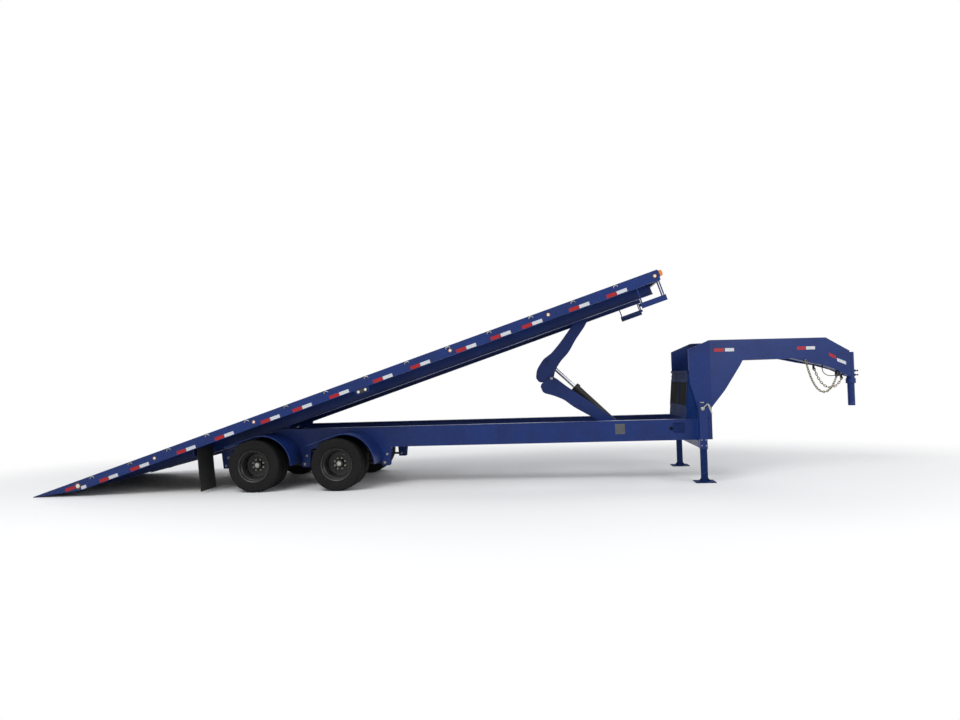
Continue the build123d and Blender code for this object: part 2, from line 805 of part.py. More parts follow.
def make_barrel():
    """The barrel with its base eye and its wider cap, bored for the rod."""
    eye = shaft_y((0, 0), cylinder_eye_r, -cylinder_eye_w / 2, cylinder_eye_w / 2)
    body = rod_x(barrel_r, barrel_root, barrel_length - barrel_cap_length / 2)
    cap = rod_x(barrel_r + barrel_cap_up, barrel_length - barrel_cap_length, barrel_length)
    barrel = eye + body + cap
    barrel -= rod_x(rod_r + rod_seal_gap, barrel_floor, barrel_length + cut_past)
    barrel -= shaft_y((0, 0), hoist_pin_r + hoist_pin_gap, -cylinder_eye_w, cylinder_eye_w)
    return cylinder_pose(barrel)


def make_rod():
    """The rod with its eye, whose bore leaves room to drift about its pin."""
    reach = math.dist(hoist_base, rod_eye)
    rod = rod_x(rod_r, rod_tail, reach - rod_head_in)
    rod += shaft_y((reach, 0), cylinder_eye_r, -cylinder_eye_w / 2, cylinder_eye_w / 2)
    rod -= shaft_y((reach, 0), hoist_pin_r + rod_eye_gap, -cylinder_eye_w, cylinder_eye_w)
    return cylinder_pose(rod)


# Collars on the hoist's shafts, as width and how far they stand up from the shaft
base_collar = (60.0, 22.0)
base_ring = (12.0, 12.0)
base_ring_y = 210.0
head_collar = (40.0, 20.0)


def make_hoist_base():
    """The shaft between the rails that the lower arm and the cylinder stand on."""
    reach = rail_y - web_t
    base = shaft_y(hoist_base, hoist_pin_r, -reach, reach)
    collars = ((reach - base_collar[0], *base_collar), (base_ring_y, *base_ring))
    for side in (-1, 1):
        for y, width, up in collars:
            base += round_y(hoist_base, hoist_pin_r + up, *sorted((side * y, side * (y + width))))
    return base


def make_head_mount():
    """The shaft under the bed that the upper arm turns on, with its two hangers."""
    spot = flat_point(*hoist_head)
    mount = shaft_y(spot, hoist_pin_r, -hoist_bay_half, hoist_bay_half)
    width, up = head_collar
    for side in (-1, 1):
        ends = sorted((side * hoist_bay_half, side * (hoist_bay_half - width)))
        mount += round_y(spot, hoist_pin_r + up, *ends)
    return mount


def flat_point(x, z):
    """Where a point of the tilted bed lies when the bed is flat."""
    u, h = x - pivot_x, z - pivot_z
    return (pivot_x + u * math.cos(tilt) + h * math.sin(tilt),
            pivot_z - u * math.sin(tilt) + h * math.cos(tilt))


# Gooseneck


def make_riser():
    x0, x1 = riser_rear_x, riser_front_x
    outline = [(x0, neck_top - drop) for drop in riser_back] + [(x1, neck_top), (x1, rail_top)]
    outline += [(x0 + ahead, rail_top + up) for ahead, up in riser_edge]
    y0 = -rail_y - riser_proud
    return plate_xz(outline, y0, y0 + riser_t)


def neck_y(x):
    """How far out the neck beam's outer face is at x."""
    return rail_y - (x - riser_front_x) * (rail_y - neck_end_y) / (neck_end_x - riser_front_x)


neck_lean = math.atan2(rail_y - neck_y(neck_end_x), neck_end_x - riser_front_x)


def lean_in(shape):
    """Turn a straight near-side piece in about the riser's front edge, towards the coupler."""
    turned = shape.rotate(Axis((riser_front_x, -rail_y, 0), (0, 0, 1)), math.degrees(neck_lean))
    behind = block(riser_front_x - trim_past, riser_front_x, -rail_y - trim_past, -rail_y + trim_past, 0,
                   neck_top + trim_past)
    return turned - behind


def make_neck_beam():
    """A beam that runs in from the riser to the coupler, deeper at its front end."""
    x0, x1 = riser_front_x, neck_end_x
    low = neck_top - neck_beam_depth
    outline = [(x0, low)] + [(x1 - back, neck_top - drop) for back, drop in neck_under]
    outline += [(x1, neck_top - neck_nose_drop), (x1 - neck_slope_back, neck_top), (x0, neck_top)]
    scale = 1 / math.cos(neck_lean)
    flat = [(x0 + (x - x0) * scale, z) for x, z in outline]
    web = plate_xz(flat, -rail_y, -rail_y + neck_web_t)
    inner = -rail_y + neck_flange
    nose, slope, start = flat[-3:]
    top = plate_xz([start, slope, nose, (nose[0], nose[1] - neck_flange_t),
                    (slope[0], slope[1] - neck_flange_t),
                    (start[0], start[1] - neck_flange_t)], -rail_y, inner)
    under = flat[:len(neck_under) + 1]
    low_flange = plate_xz(under + [(x, z + neck_flange_t) for x, z in reversed(under)], -rail_y, inner)
    return lean_in(web + top + low_flange) - block(x1, x1 + trim_past, -rail_y, 0, 0, neck_top + trim_past)


def make_gusset():
    low = neck_top - neck_beam_depth
    x0 = riser_front_x
    outline = [(x0, low)] + [(x0 + ahead, low - drop) for ahead, drop in gusset_edge]
    return lean_in(plate_xz(outline, -rail_y, -rail_y + neck_web_t))


neck_cross_xs = (6760.0, 7500.0, 8240.0)
neck_cross = (70.0, 120.0)
neck_cross_drop = 200.0


def make_neck_cross(x):
    """A tube between the two neck beams' webs, its ends cut to their lean."""
    width, height = neck_cross
    web = neck_web_t / math.cos(neck_lean)
    y0, y1 = neck_y(x) - web, neck_y(x + width) - web
    z0 = neck_top - neck_cross_drop
    return plate_xy([(x, -y0), (x, y0), (x + width, y1), (x + width, -y1)], z0, z0 + height)


saddle_in = 20.0
saddle_narrow = 30.0
saddle_end = 10.0


def make_neck_nose():
    """The saddle between the two beams' ends and the coupler tube."""
    z0, z1 = neck_top - neck_under[-1][1], neck_top - neck_nose_drop
    half = neck_end_y - saddle_narrow
    saddle = block(neck_end_x, coupler_x - saddle_in, -half, half, z0 + saddle_end,
                   coupler_top - saddle_end)
    plate = block(neck_end_x, neck_end_x + neck_web_t, -neck_end_y, neck_end_y, z0, z1)
    return saddle + plate - post_z(coupler_x, 0, coupler_outer_r, z0 - cut_past, z1 + cut_past)


def make_coupler_outer():
    tube = post_z(coupler_x, 0, coupler_outer_r, coupler_collar[0], coupler_top)
    tube += post_z(coupler_x, 0, coupler_outer_r + collar_up, *coupler_collar)
    tube -= post_z(coupler_x, 0, coupler_inner_r + coupler_gap, coupler_collar[0] - cut_past,
                   coupler_top - coupler_cap_t)
    bolt = round_y((0, 0), bolt_r, coupler_outer_r - bolt_root, coupler_outer_r + bolt_reach, 6)
    for up in bolt_ups:
        tube += Pos(coupler_x, 0, coupler_collar[1] + up) * Rot(0, 0, -90) * bolt
    return tube


def make_coupler_inner():
    tube = post_z(coupler_x, 0, coupler_inner_r, coupler_bottom, coupler_top - coupler_inner_in)
    tube -= post_z(coupler_x, 0, ball_r, coupler_bottom - cut_past, coupler_bottom + ball_depth)
    return tube


# Safety chains: each hangs between two pins on tabs under the neck
chain_wire = 11.0
link_inside = 38.0
link_inside_w = 15.0
link_play = 0.6
chain_pin_r = 6.5
chain_pin_length = 30.0
tab_t = 12.0
tab_half = 16.0
tab_gap = 2.0
# Each chain: the pin it starts from and the pin it ends on, as (x, y, z)
chain_spans = (((8200.0, -312.0, 1690.0), (8735.0, -64.0, 1452.0)),
               ((8477.0, 126.0, 1560.0), (8850.0, 40.0, 1412.0)))
# How many links each chain has: an odd number, so that both end links hang alike on their pins
chain_link_counts = (27, 17)


def make_link():
    """One link flat in the XY plane and long in X: a blunt-ended ring with a square opening."""
    reach, side = link_inside / 2 + chain_wire, link_inside_w / 2 + chain_wire
    nose = side * 0.5
    ring = [(reach, -nose), (reach, nose), (link_inside / 2, side), (-link_inside / 2, side),
            (-reach, nose), (-reach, -nose), (-link_inside / 2, -side), (link_inside / 2, -side)]
    hole_x, hole_y = link_inside / 2, link_inside_w / 2
    hole = [(hole_x, -hole_y), (hole_x, hole_y), (-hole_x, hole_y), (-hole_x, -hole_y)]
    return plate_xy(ring, -chain_wire / 2, chain_wire / 2) - plate_xy(hole, -chain_wire, chain_wire)


def hang(run, drop, length):
    """A chain's own curve between two ends: its scale and its lowest point's distance from the start."""
    want = math.sqrt(length ** 2 - drop ** 2) / run
    low, high = 1e-6, 20.0
    for _ in range(60):
        middle = (low + high) / 2
        if math.sinh(middle) / middle < want:
            low = middle
        else:
            high = middle
    scale = run / 2 / low
    return scale, run / 2 - scale * math.asinh(drop / (2 * scale * math.sinh(run / (2 * scale))))


def make_chain(start, end, count):
    """Links of one chain, every second one turned a quarter about the chain's line."""
    run_x, run_y, drop = (end[0] - start[0], end[1] - start[1], end[2] - start[2])
    run = math.hypot(run_x, run_y)
    pitch = link_inside - link_play
    end_step = link_inside / 2 - chain_pin_r - link_play / 2
    length = 2 * end_step + (count - 1) * pitch
    scale, lowest = hang(run, drop, length)
    along = Vector(run_x / run, run_y / run, 0)
    sideways = Vector(-run_y / run, run_x / run, 0)
    first = scale * math.sinh(-lowest / scale)
    link = make_link()
    links = []
    for index in range(count):
        reach = lowest + scale * math.asinh((first + end_step + index * pitch) / scale)
        slope = math.sinh((reach - lowest) / scale)
        height = scale * (math.cosh((reach - lowest) / scale) - math.cosh(-lowest / scale))
        tangent = (along + Vector(0, 0, slope)).normalized()
        normal = sideways if index % 2 == 0 else tangent.cross(sideways)
        spot = Vector(*start) + along * reach + Vector(0, 0, height)
        links.append(Plane(origin=spot, x_dir=tangent, z_dir=normal) * link)
    return links


def neck_underside(x, y):
    """The height of the neck beams' underside at a spot, which shifts back as it leans in."""
    along = x + (neck_y(x) - abs(y)) * math.cos(neck_lean) * math.sin(neck_lean)
    edge = [(neck_end_x - back, neck_top - drop) for back, drop in neck_under]
    for (x0, z0), (x1, z1) in zip(edge, edge[1:]):
        if x0 <= along <= x1:
            return z0 + (z1 - z0) * (along - x0) / (x1 - x0)
    return neck_top - neck_beam_depth


def make_tab(x, y, low):
    """A plate that stands down from a neck beam's lower flange, cut to its slope."""
    x0, x1 = x - tab_half, x + tab_half
    high = [neck_underside(edge, y + tab_t / 2) + neck_flange_t / 2 for edge in (x0, x1)]
    return plate_xz([(x0, high[0]), (x1, high[1]), (x1, low), (x0, low)], y, y + tab_t)


def make_neck_fittings():
    """The pins through the chains' end links with their tabs, the lead's gland and its plug's holder."""
    fittings = [make_gland(), make_plug_holder()]
    for start, end in chain_spans:
        run_x, run_y = end[0] - start[0], end[1] - start[1]
        run = math.hypot(run_x, run_y)
        sideways = Vector(-run_y / run, run_x / run, 0)
        for spot in (start, end):
            far = Vector(*spot) + sideways * chain_pin_length
            pin = bar(tuple(Vector(*spot) - sideways * chain_wire), tuple(far), chain_pin_r, 8)
            on_web = spot[2] > neck_underside(spot[0], spot[1])
            tab_y, tab_z = far.Y - tab_t - tab_gap, spot[2] - tab_half
            fittings.append(pin if on_web else pin + make_tab(far.X, tab_y, tab_z))
    for beam in both_sides(make_neck_beam()):
        fittings = [fitting - beam for fitting in fittings]
    return fittings


# Electric lead: out of a gland under the neck and along to its plug, which is parked in a holder
lead_r = 6.0
gland_r = 13.0
plug_r = 17.0
lead_points = ((8500.0, -130.0, 1575.0), (8500.0, -130.0, 1528.0), (8532.0, -124.0, 1482.0),
               (8583.0, -117.0, 1452.0), (8640.0, -110.0, 1445.0), (8692.0, -105.0, 1452.0))
bend_share = 0.45
plug_length = 62.0
holder_grip = 20.0
holder_wall = 5.0


def lead_radii():
    """Each bend of the lead as large as its two runs allow."""
    spots = [Vector(*point) for point in lead_points]
    radii = []
    for before, here, after in zip(spots, spots[1:], spots[2:]):
        turn = math.radians((here - before).get_angle(after - here))
        radii.append(bend_share * min((here - before).length, (after - here).length) / math.tan(turn / 2))
    return radii


def make_lead():
    """The lead's plain tube, six-sided to keep its mesh light."""
    return bent_bar(lead_points, lead_r, lead_radii())


def make_gland():
    """The gland that the lead comes out of, up against the neck's flange."""
    x, y, z = lead_points[0]
    return bar((x, y, z), (x, y, neck_underside(x, y) + neck_flange_t / 2), gland_r, 8)


def make_plug():
    """The lead's plug, in line with the lead's end."""
    spots = [Vector(*point) for point in lead_points[-2:]]
    heading = (spots[1] - spots[0]).normalized()
    return bar(tuple(spots[1]), tuple(spots[1] + heading * plug_length), plug_r)


def make_plug_holder():
    """The collar that the plug is parked in, on a tab under the neck."""
    spots = [Vector(*point) for point in lead_points[-2:]]
    heading = (spots[1] - spots[0]).normalized()
    end = spots[1] + heading * plug_length
    collar = bar(tuple(end - heading * holder_grip), tuple(end + heading * holder_grip),
                 plug_r + holder_wall)
    tab = make_tab(end.X, end.Y - tab_t / 2, end.Z)
    return (collar + tab) - bar(tuple(spots[1]), tuple(end), plug_r)


# Jacks


def make_jack_tube():
    half = jack_tube / 2
    tube = block(jack_x - half, jack_x + half, -jack_y - half, -jack_y + half, *jack_tube_z)
    inner = jack_leg / 2
    tube -= block(jack_x - inner, jack_x + inner, -jack_y - inner, -jack_y + inner,
                  jack_tube_z[0] - cut_past, jack_tube_z[1] - jack_cap_t)
    return tube


def make_jack_leg():
    half = jack_leg / 2
    leg = block(jack_x - half, jack_x + half, -jack_y - half, -jack_y + half, jack_foot_t,
                jack_leg_top)
    length, depth = jack_foot / 2, jack_foot_depth / 2
    leg += block(jack_x - length, jack_x + length, -jack_y - depth, -jack_y + depth, 0, jack_foot_t)
    return leg


crank_z = 1045.0
crank_r = 8.0
crank_boss_r = 26.0
crank_boss_t = 22.0
# The crank's run from its boss, as (ahead of the jack, up from the boss)
crank_run = ((0.0, 0.0), (62.0, 70.0), (96.0, 40.0), (128.0, -96.0))
cap_r = 34.0
cap_height = 14.0


def make_jack_cap():
    """The bright cap on top of a jack and the crank that folds against it."""
    face = -jack_y - jack_tube / 2
    top = (jack_x, -jack_y, jack_tube_z[1])
    cap = bar(top, (jack_x, -jack_y, jack_tube_z[1] + cap_height), cap_r)
    boss = round_y((jack_x, crank_z), crank_boss_r, face - crank_boss_t, face)
    for low, high in zip(crank_run, crank_run[1:]):
        ends = [(jack_x + x, face - crank_boss_t + crank_r, crank_z + z) for x, z in (low, high)]
        boss += bar(*ends, crank_r, 8)
    return [cap, boss]


def make_jack_cross():
    """The beam under the rails that carries both jacks."""
    inner = jack_y - jack_tube / 2
    width, height = jack_beam
    return block(jack_x - width / 2, jack_x + width / 2, -inner, inner, rail_bottom - height, rail_bottom)


# Toolbox between the risers
box_rear_x = 6345.0
box_rear_top_x = 6405.0
box_front_x = 6700.0
box_z = (rail_top, 1584.0)
box_clear = 10.0
box_half = rail_y - box_clear
box_t = 4.0
box_frame_t = 8.0
box_frame_bar = 34.0
box_frame_in = 20.0
# The level bars on the leaning wall, as (low, high); the upright ones stand between the first two
box_frame_rows = ((1040.0, 1074.0), (1420.0, 1454.0), (1490.0, 1510.0))
lid_t = 6.0
lid_gap = 0.3
lid_front_in = 8.0
lid_front_x = box_front_x - lid_front_in
lid_side_in = 6.0
lid_rear_over = 12.0
lid_lip_drop = 30.0
hinge_ahead = 10.0
hinge_x = box_front_x + hinge_ahead
hinge_z = box_z[1] + lid_gap + lid_t / 2
hinge_rod_r = 5.0
hinge_sleeve_r = 8.5
hinge_bore_gap = 0.3
hinge_lug_ahead = 7.0
hinge_lug_z = (-26.0, 4.0)
hinge_sleeve_ys = ((-500.0, -360.0), (360.0, 500.0))


def box_rear(z):
    """The x of the toolbox's leaning rear wall at a height."""
    z0, z1 = box_z
    return box_rear_x + (box_rear_top_x - box_rear_x) * (z - z0) / (z1 - z0)


def frame_bar(low, high, y0, y1):
    """A flat bar on the toolbox's leaning wall."""
    return plate_xz([(box_rear(low) - box_frame_t, low), (box_rear(low), low), (box_rear(high), high),
                     (box_rear(high) - box_frame_t, high)], y0, y1)


def make_toolbox():
    """An open-topped box with bars on its rear wall and the lid's hinge rod on its front."""
    z0, z1 = box_z
    shell = plate_xz([(box_rear_x, z0), (box_front_x, z0), (box_front_x, z1), (box_rear_top_x, z1)],
                     -box_half, box_half)
    top, inner, front = z1 + cut_past, box_half - box_t, box_front_x - box_t
    shell -= plate_xz([(box_rear(z0) + box_t, z0 + box_t), (front, z0 + box_t), (front, top),
                       (box_rear(top) + box_t, top)], -inner, inner)
    frame_half = box_half - box_frame_in
    for low, high in box_frame_rows:
        shell += frame_bar(low, high, -frame_half, frame_half)
    for y in (-frame_half, -box_frame_bar / 2, frame_half - box_frame_bar):
        shell += frame_bar(box_frame_rows[0][1], box_frame_rows[1][0], y, y + box_frame_bar)
    reach = box_half - box_frame_bar
    shell += shaft_y((hinge_x, hinge_z), hinge_rod_r, -reach, reach)
    for y in (-reach, reach - box_frame_bar):
        shell += block(box_front_x, hinge_x + hinge_lug_ahead, y, y + box_frame_bar,
                       hinge_z + hinge_lug_z[0], hinge_z + hinge_lug_z[1])
    return shell


def make_lid():
    """The lid rests on the box and turns up on the rod along its front edge."""
    z0 = box_z[1] + lid_gap
    z1 = z0 + lid_t
    half, rear = box_half - lid_side_in, box_rear_top_x - lid_rear_over
    lid = block(rear, lid_front_x, -half, half, z0, z1)
    lid += block(rear - lid_t, rear, -half, half, z0 - lid_lip_drop, z1)
    for y0, y1 in hinge_sleeve_ys:
        lid += block(lid_front_x, hinge_x, y0, y1, z0, z1)
        lid += round_y((hinge_x, hinge_z), hinge_sleeve_r, y0, y1, 8)
        lid -= shaft_y((hinge_x, hinge_z), hinge_rod_r + hinge_bore_gap, y0 - cut_past, y1 + cut_past)
    return lid


# Every node by name


def spread(shapes):
    """One flat list from pieces and lists of pieces."""
    flat = []
    for shape in shapes:
        flat += spread(shape) if isinstance(shape, (list, tuple)) else [shape]
    return flat


def at_axle(shape, x, far):
    placed = Pos(x, 0, axle_z) * shape
    return mirror(placed, about=Plane.XZ) if far else placed


cross_xs = []
next_cross = bed_rear_x + knife_length + first_cross
while next_cross < bed_front_x - side_flange - bed_cross_flange:
    cross_xs.append(next_cross)
    next_cross += bed_cross_pitch

wheel = make_wheel()
tyres = [make_tyre(-outer_tyre_y), make_tyre(-inner_tyre_y)]

nodes = {
    "frame_rails": both_sides(make_rail()),
    "frame_crossmembers": [make_frame_cross(x) for x in frame_cross_xs],
    "pivot_shaft": [make_pivot_shaft()],
    "fenders": [both_sides(make_fender(x)) for x in axle_xs.values()],
    "axle_rear": [make_axle(axle_xs["rear"])],
    "axle_front": [make_axle(axle_xs["front"])],
    "leaf_springs": [both_sides(make_spring(x)) for x in axle_xs.values()],
    "spring_hangers": [both_sides(make_hanger(x)) for x in hanger_xs],
    "hoist_base": [make_hoist_base()],
    "hoist_lower_arm": [make_lower_arm()],
    "hoist_upper_arm": [make_upper_arm()],
    "cylinder_barrel": [make_barrel()],
    "cylinder_rod": [make_rod()],
    "risers": both_sides(make_riser()),
    "neck_beams": both_sides(make_neck_beam()),
    "neck_gussets": both_sides(make_gusset()),
    "neck_crossmembers": [make_neck_cross(x) for x in neck_cross_xs],
    "neck_nose": [make_neck_nose()],
    "safety_chains": [make_chain(*span, count) for span, count in zip(chain_spans, chain_link_counts)],
    "neck_fittings": make_neck_fittings(),
    "electric_lead": [make_lead()],
    "lead_plug": [make_plug()],
    "coupler_outer": [make_coupler_outer()],
    "coupler_inner": [make_coupler_inner()],
    "jack_tubes": both_sides(make_jack_tube()),
    "jack_legs": both_sides(make_jack_leg()),
    "jack_cranks": [both_sides(piece) for piece in make_jack_cap()],
    "jack_crossbeam": [make_jack_cross()],
    "toolbox": [make_toolbox()],
    "toolbox_lid": [make_lid()],
    "bed_side_rails": on_bed(both_sides(make_side_rail()) + both_sides(make_turn_lamp_plate())),
    "bed_beams": on_bed(both_sides(make_bed_beam())),
    "bed_crossmembers": on_bed(spread([[make_bed_cross(x) for x in cross_xs],
                                       both_sides(make_bed_stringer())])),
    "deck_planks": on_bed(make_planks()),
    "tail_plate": on_bed([make_tail_plate()]),
    "bed_header": on_bed([make_header()]),
    "pivot_ears": on_bed(both_sides(make_pivot_ear())),
    "hoist_head_mount": on_bed([make_head_mount()]),
    "front_steps": on_bed(both_sides(make_step())),
    "mud_flaps": on_bed(both_sides(make_flap())),
    "flap_hangers": on_bed(both_sides(make_flap_hanger()) + both_sides(make_tail_bar())),
    "side_lamps": on_bed(spread([both_sides(lamp) for lamp in make_side_lamps()])),
    "corner_lamps": on_bed(both_sides(make_corner_lamp())),
    "turn_lamps": on_bed(both_sides(make_turn_lamp())),
    "tail_lamps": on_bed(both_sides(make_tail_lamp())),
}
for end, x in axle_xs.items():
    for side in ("near", "far"):
        nodes[f"tyres_{end}_{side}"] = [at_axle(tyre, x, side == "far") for tyre in tyres]
        nodes[f"wheel_{end}_{side}"] = [at_axle(wheel, x, side == "far")]

solids = {name: Compound(children=spread(shapes)) for name, shapes in nodes.items()}
boxes = [solid.bounding_box() for solid in solids.values()]
centre_x = (min(box.min.X for box in boxes) + max(box.max.X for box in boxes)) / 2

os.makedirs("parts", exist_ok=True)
for name, solid in solids.items():
    export_step(Pos(-centre_x, 0, 0) * solid, f"parts/{name}.step")
print("centre", round(centre_x, 3), "nodes", len(solids))
print("lead bend radii", [round(radius, 1) for radius in lead_radii()])
lead_length = FilletPolyline(*lead_points, radius=lead_radii()).length
section_area = RegularPolygon(lead_r, 6).area
print("lead length", round(lead_length, 1), "volume over section times length",
      round(nodes["electric_lead"][0].volume / (section_area * lead_length), 4))
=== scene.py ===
import json
import math
import random

import bmesh
import bpy
from mathutils import Matrix, Vector


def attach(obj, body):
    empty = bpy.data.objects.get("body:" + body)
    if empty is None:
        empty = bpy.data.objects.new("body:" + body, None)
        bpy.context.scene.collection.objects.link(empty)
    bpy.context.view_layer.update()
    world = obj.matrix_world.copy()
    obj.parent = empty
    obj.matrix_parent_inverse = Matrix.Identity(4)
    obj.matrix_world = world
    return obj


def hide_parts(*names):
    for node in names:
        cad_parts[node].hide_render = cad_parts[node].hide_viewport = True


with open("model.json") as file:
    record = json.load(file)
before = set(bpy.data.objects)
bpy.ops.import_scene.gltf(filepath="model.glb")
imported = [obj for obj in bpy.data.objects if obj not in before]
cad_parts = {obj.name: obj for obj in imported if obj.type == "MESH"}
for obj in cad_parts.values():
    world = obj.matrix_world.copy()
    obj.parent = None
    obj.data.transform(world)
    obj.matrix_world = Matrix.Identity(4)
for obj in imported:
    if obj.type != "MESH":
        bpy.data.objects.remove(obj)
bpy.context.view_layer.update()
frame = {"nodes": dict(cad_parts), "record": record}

random.seed(11)
print("frame loaded")

# Pieces are laid out in the trailer's own metres: x from the rear axle forward, y to its left, z up.
# The bed is laid out flat and then turned up about its pivot, as in the part's source.
layout = {"centreX": 2.852433, "pivotX": 0.242, "pivotZ": 0.800, "pivotR": 0.030, "tiltDeg": 17.95}


def moved(x, y, z):
    return Matrix.Translation((x, y, z))


def spun(degrees, axis):
    return Matrix.Rotation(math.radians(degrees), 4, axis)


toRow = moved(-layout["centreX"], 0, 0)
pivotPlace = moved(layout["pivotX"], 0, layout["pivotZ"])
tiltUp = pivotPlace @ spun(-layout["tiltDeg"], "Y") @ pivotPlace.inverted()
farSide = Matrix.Diagonal((1, -1, 1, 1))
bothSides = (Matrix.Identity(4), farSide)


# the camera stands where the photograph was taken
cameraPlace = {"spot": (1.4252, -11.4854, 1.6109), "turnLeft": 4.9485, "lookUp": 1.2579, "roll": 1.7907,
               "lens": 27.04}


def placeCamera():
    yaw, pitch, roll = (math.radians(cameraPlace[key]) for key in ("turnLeft", "lookUp", "roll"))
    ahead = Vector((-math.sin(yaw) * math.cos(pitch), math.cos(yaw) * math.cos(pitch), math.sin(pitch)))
    levelRight = Vector((math.cos(yaw), math.sin(yaw), 0))
    levelDown = ahead.cross(levelRight)
    right = levelRight * math.cos(roll) + levelDown * math.sin(roll)
    up = -(levelDown * math.cos(roll) - levelRight * math.sin(roll))
    camera = bpy.data.objects.new("camera", bpy.data.cameras.new("camera"))
    camera.data.lens = cameraPlace["lens"]
    camera.data.clip_end = 300
    turn = Matrix((right, up, -ahead)).transposed().to_4x4()
    camera.matrix_world = Matrix.Translation(cameraPlace["spot"]) @ turn
    bpy.context.collection.objects.link(camera)
    bpy.context.scene.camera = camera


placeCamera()


# small mesh tools, all of them adding to one bmesh

def joinRings(bm, rings, closed=False, backwards=False):
    # four-sided faces from each ring of points to the next, and from the last to the first if closed
    for ringA, ringB in zip(rings, rings[1:] + rings[:1] if closed else rings[1:]):
        for here in range(len(ringA)):
            there = (here + 1) % len(ringA)
            if backwards:
                bm.faces.new((ringA[here], ringA[there], ringB[there], ringB[here]))
            else:
                bm.faces.new((ringA[here], ringB[here], ringB[there], ringA[there]))


def settle(bm, rings, place):
    # rings of points taken to their place, if they have one
    if place is not None:
        bmesh.ops.transform(bm, matrix=place, verts=[vert for ring in rings for vert in ring])


def addOutline(bm, outline, y0, y1, place=None):
    # an outline of (x, z) points run from y0 to y1
    near, far = [[bm.verts.new((x, y, z)) for x, z in outline] for y in (y0, y1)]
    bm.faces.new(near)
    bm.faces.new(far[::-1])
    joinRings(bm, [near, far])
    settle(bm, [near, far], place)


def addBox(bm, low, high, place=None):
    (x0, y0, z0), (x1, y1, z1) = low, high
    addOutline(bm, [(x0, z0), (x1, z0), (x1, z1), (x0, z1)], y0, y1, place)


def addTurned(bm, profile, sides=48, place=None, closed=False):
    # (radius, along) points turned about the Y axis; an open profile is capped where it ends off the axis
    rings = []
    for radius, along in profile:
        if radius < 1e-6:
            rings.append([bm.verts.new((0, along, 0))])
            continue
        turns = [2 * math.pi * step / sides for step in range(sides)]
        rings.append([bm.verts.new((radius * math.sin(turn), along, -radius * math.cos(turn)))
                      for turn in turns])
    for ringA, ringB in zip(rings, rings[1:] + rings[:1] if closed else rings[1:]):
        for step in range(sides):
            following = (step + 1) % sides
            if len(ringA) == 1 and len(ringB) == 1:
                continue
            if len(ringA) == 1:
                bm.faces.new((ringA[0], ringB[step], ringB[following]))
            elif len(ringB) == 1:
                bm.faces.new((ringA[following], ringA[step], ringB[0]))
            else:
                bm.faces.new((ringA[following], ringA[step], ringB[step], ringB[following]))
    if not closed:
        for ring in (rings[0], rings[-1]):
            if len(ring) > 1:
                bm.faces.new(ring)
    settle(bm, rings, place)


def addTube(bm, points, radius, sides=10, closed=False, place=None):
    # a round bar along a line of points
    spots = [Vector(point) for point in points]
    count = len(spots)
    rings = []
    normal = None
    for index, spot in enumerate(spots):
        before = spots[index - 1] if index or closed else spot
        after = spots[(index + 1) % count] if index + 1 < count or closed else spot
        tangent = (after - before).normalized()
        if normal is None:
            normal = tangent.cross(Vector((0, 0, 1)) if abs(tangent.z) < 0.9
                                   else Vector((0, 1, 0))).normalized()
        normal = (normal - tangent * normal.dot(tangent)).normalized()
        across = tangent.cross(normal)
        ring = []
        for step in range(sides):
            turn = 2 * math.pi * step / sides
            ring.append(bm.verts.new(spot + normal * radius * math.cos(turn)
                                     + across * radius * math.sin(turn)))
        rings.append(ring)
    joinRings(bm, rings, closed, backwards=True)
    if not closed:
        bm.faces.new(rings[0][::-1])
        bm.faces.new(rings[-1])
    settle(bm, rings, place)


def alongLine(start, end):
    # a place whose Y axis runs from start towards end, and the distance between them
    run = Vector(end) - Vector(start)
    turn = Vector((0, 1, 0)).rotation_difference(run).to_matrix().to_4x4()
    return Matrix.Translation(start) @ turn, run.length


def addBolt(bm, place, across, height, stud=0.0):
    # a hexagon head that stands out along -Y, with its washer and the stud's end
    addTurned(bm, [(across * 0.72, 0), (across * 0.72, -0.002), (across * 0.6, -0.002)], 16, place)
    head = [(across * 0.577, -0.002), (across * 0.577, -height * 0.86), (across * 0.48, -height)]
    addTurned(bm, head, 6, place)
    if stud:
        tip = -height - stud
        addTurned(bm, [(across * 0.3, -height), (across * 0.3, tip), (across * 0.22, tip - 0.002)], 10,
                  place)


bevelStyle = {"segments": 2, "sharperThan": 40}


def finishPiece(name, bm, material, body, bevel=0.0, sharp=38, replaced=()):
    # one finished object in the row's frame, riding on its body; what rides on the bed is turned up with it
    bmesh.ops.recalc_face_normals(bm, faces=bm.faces)
    mesh = bpy.data.meshes.new(name)
    bmesh.ops.transform(bm, matrix=toRow @ tiltUp if body == "bed" else toRow, verts=bm.verts)
    bm.to_mesh(mesh)
    bm.free()
    mesh.shade_smooth()
    mesh.set_sharp_from_angle(angle=math.radians(sharp))
    mesh.materials.append(material)
    piece = bpy.data.objects.new(name, mesh)
    bpy.context.collection.objects.link(piece)
    if bevel:
        rounding = piece.modifiers.new("edges", "BEVEL")
        rounding.width = bevel
        rounding.segments = bevelStyle["segments"]
        rounding.limit_method = "ANGLE"
        rounding.angle_limit = math.radians(bevelStyle["sharperThan"])
        rounding.harden_normals = True
    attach(piece, body)
    if replaced:
        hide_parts(*replaced)
    return piece


# shader effects that several finishes share

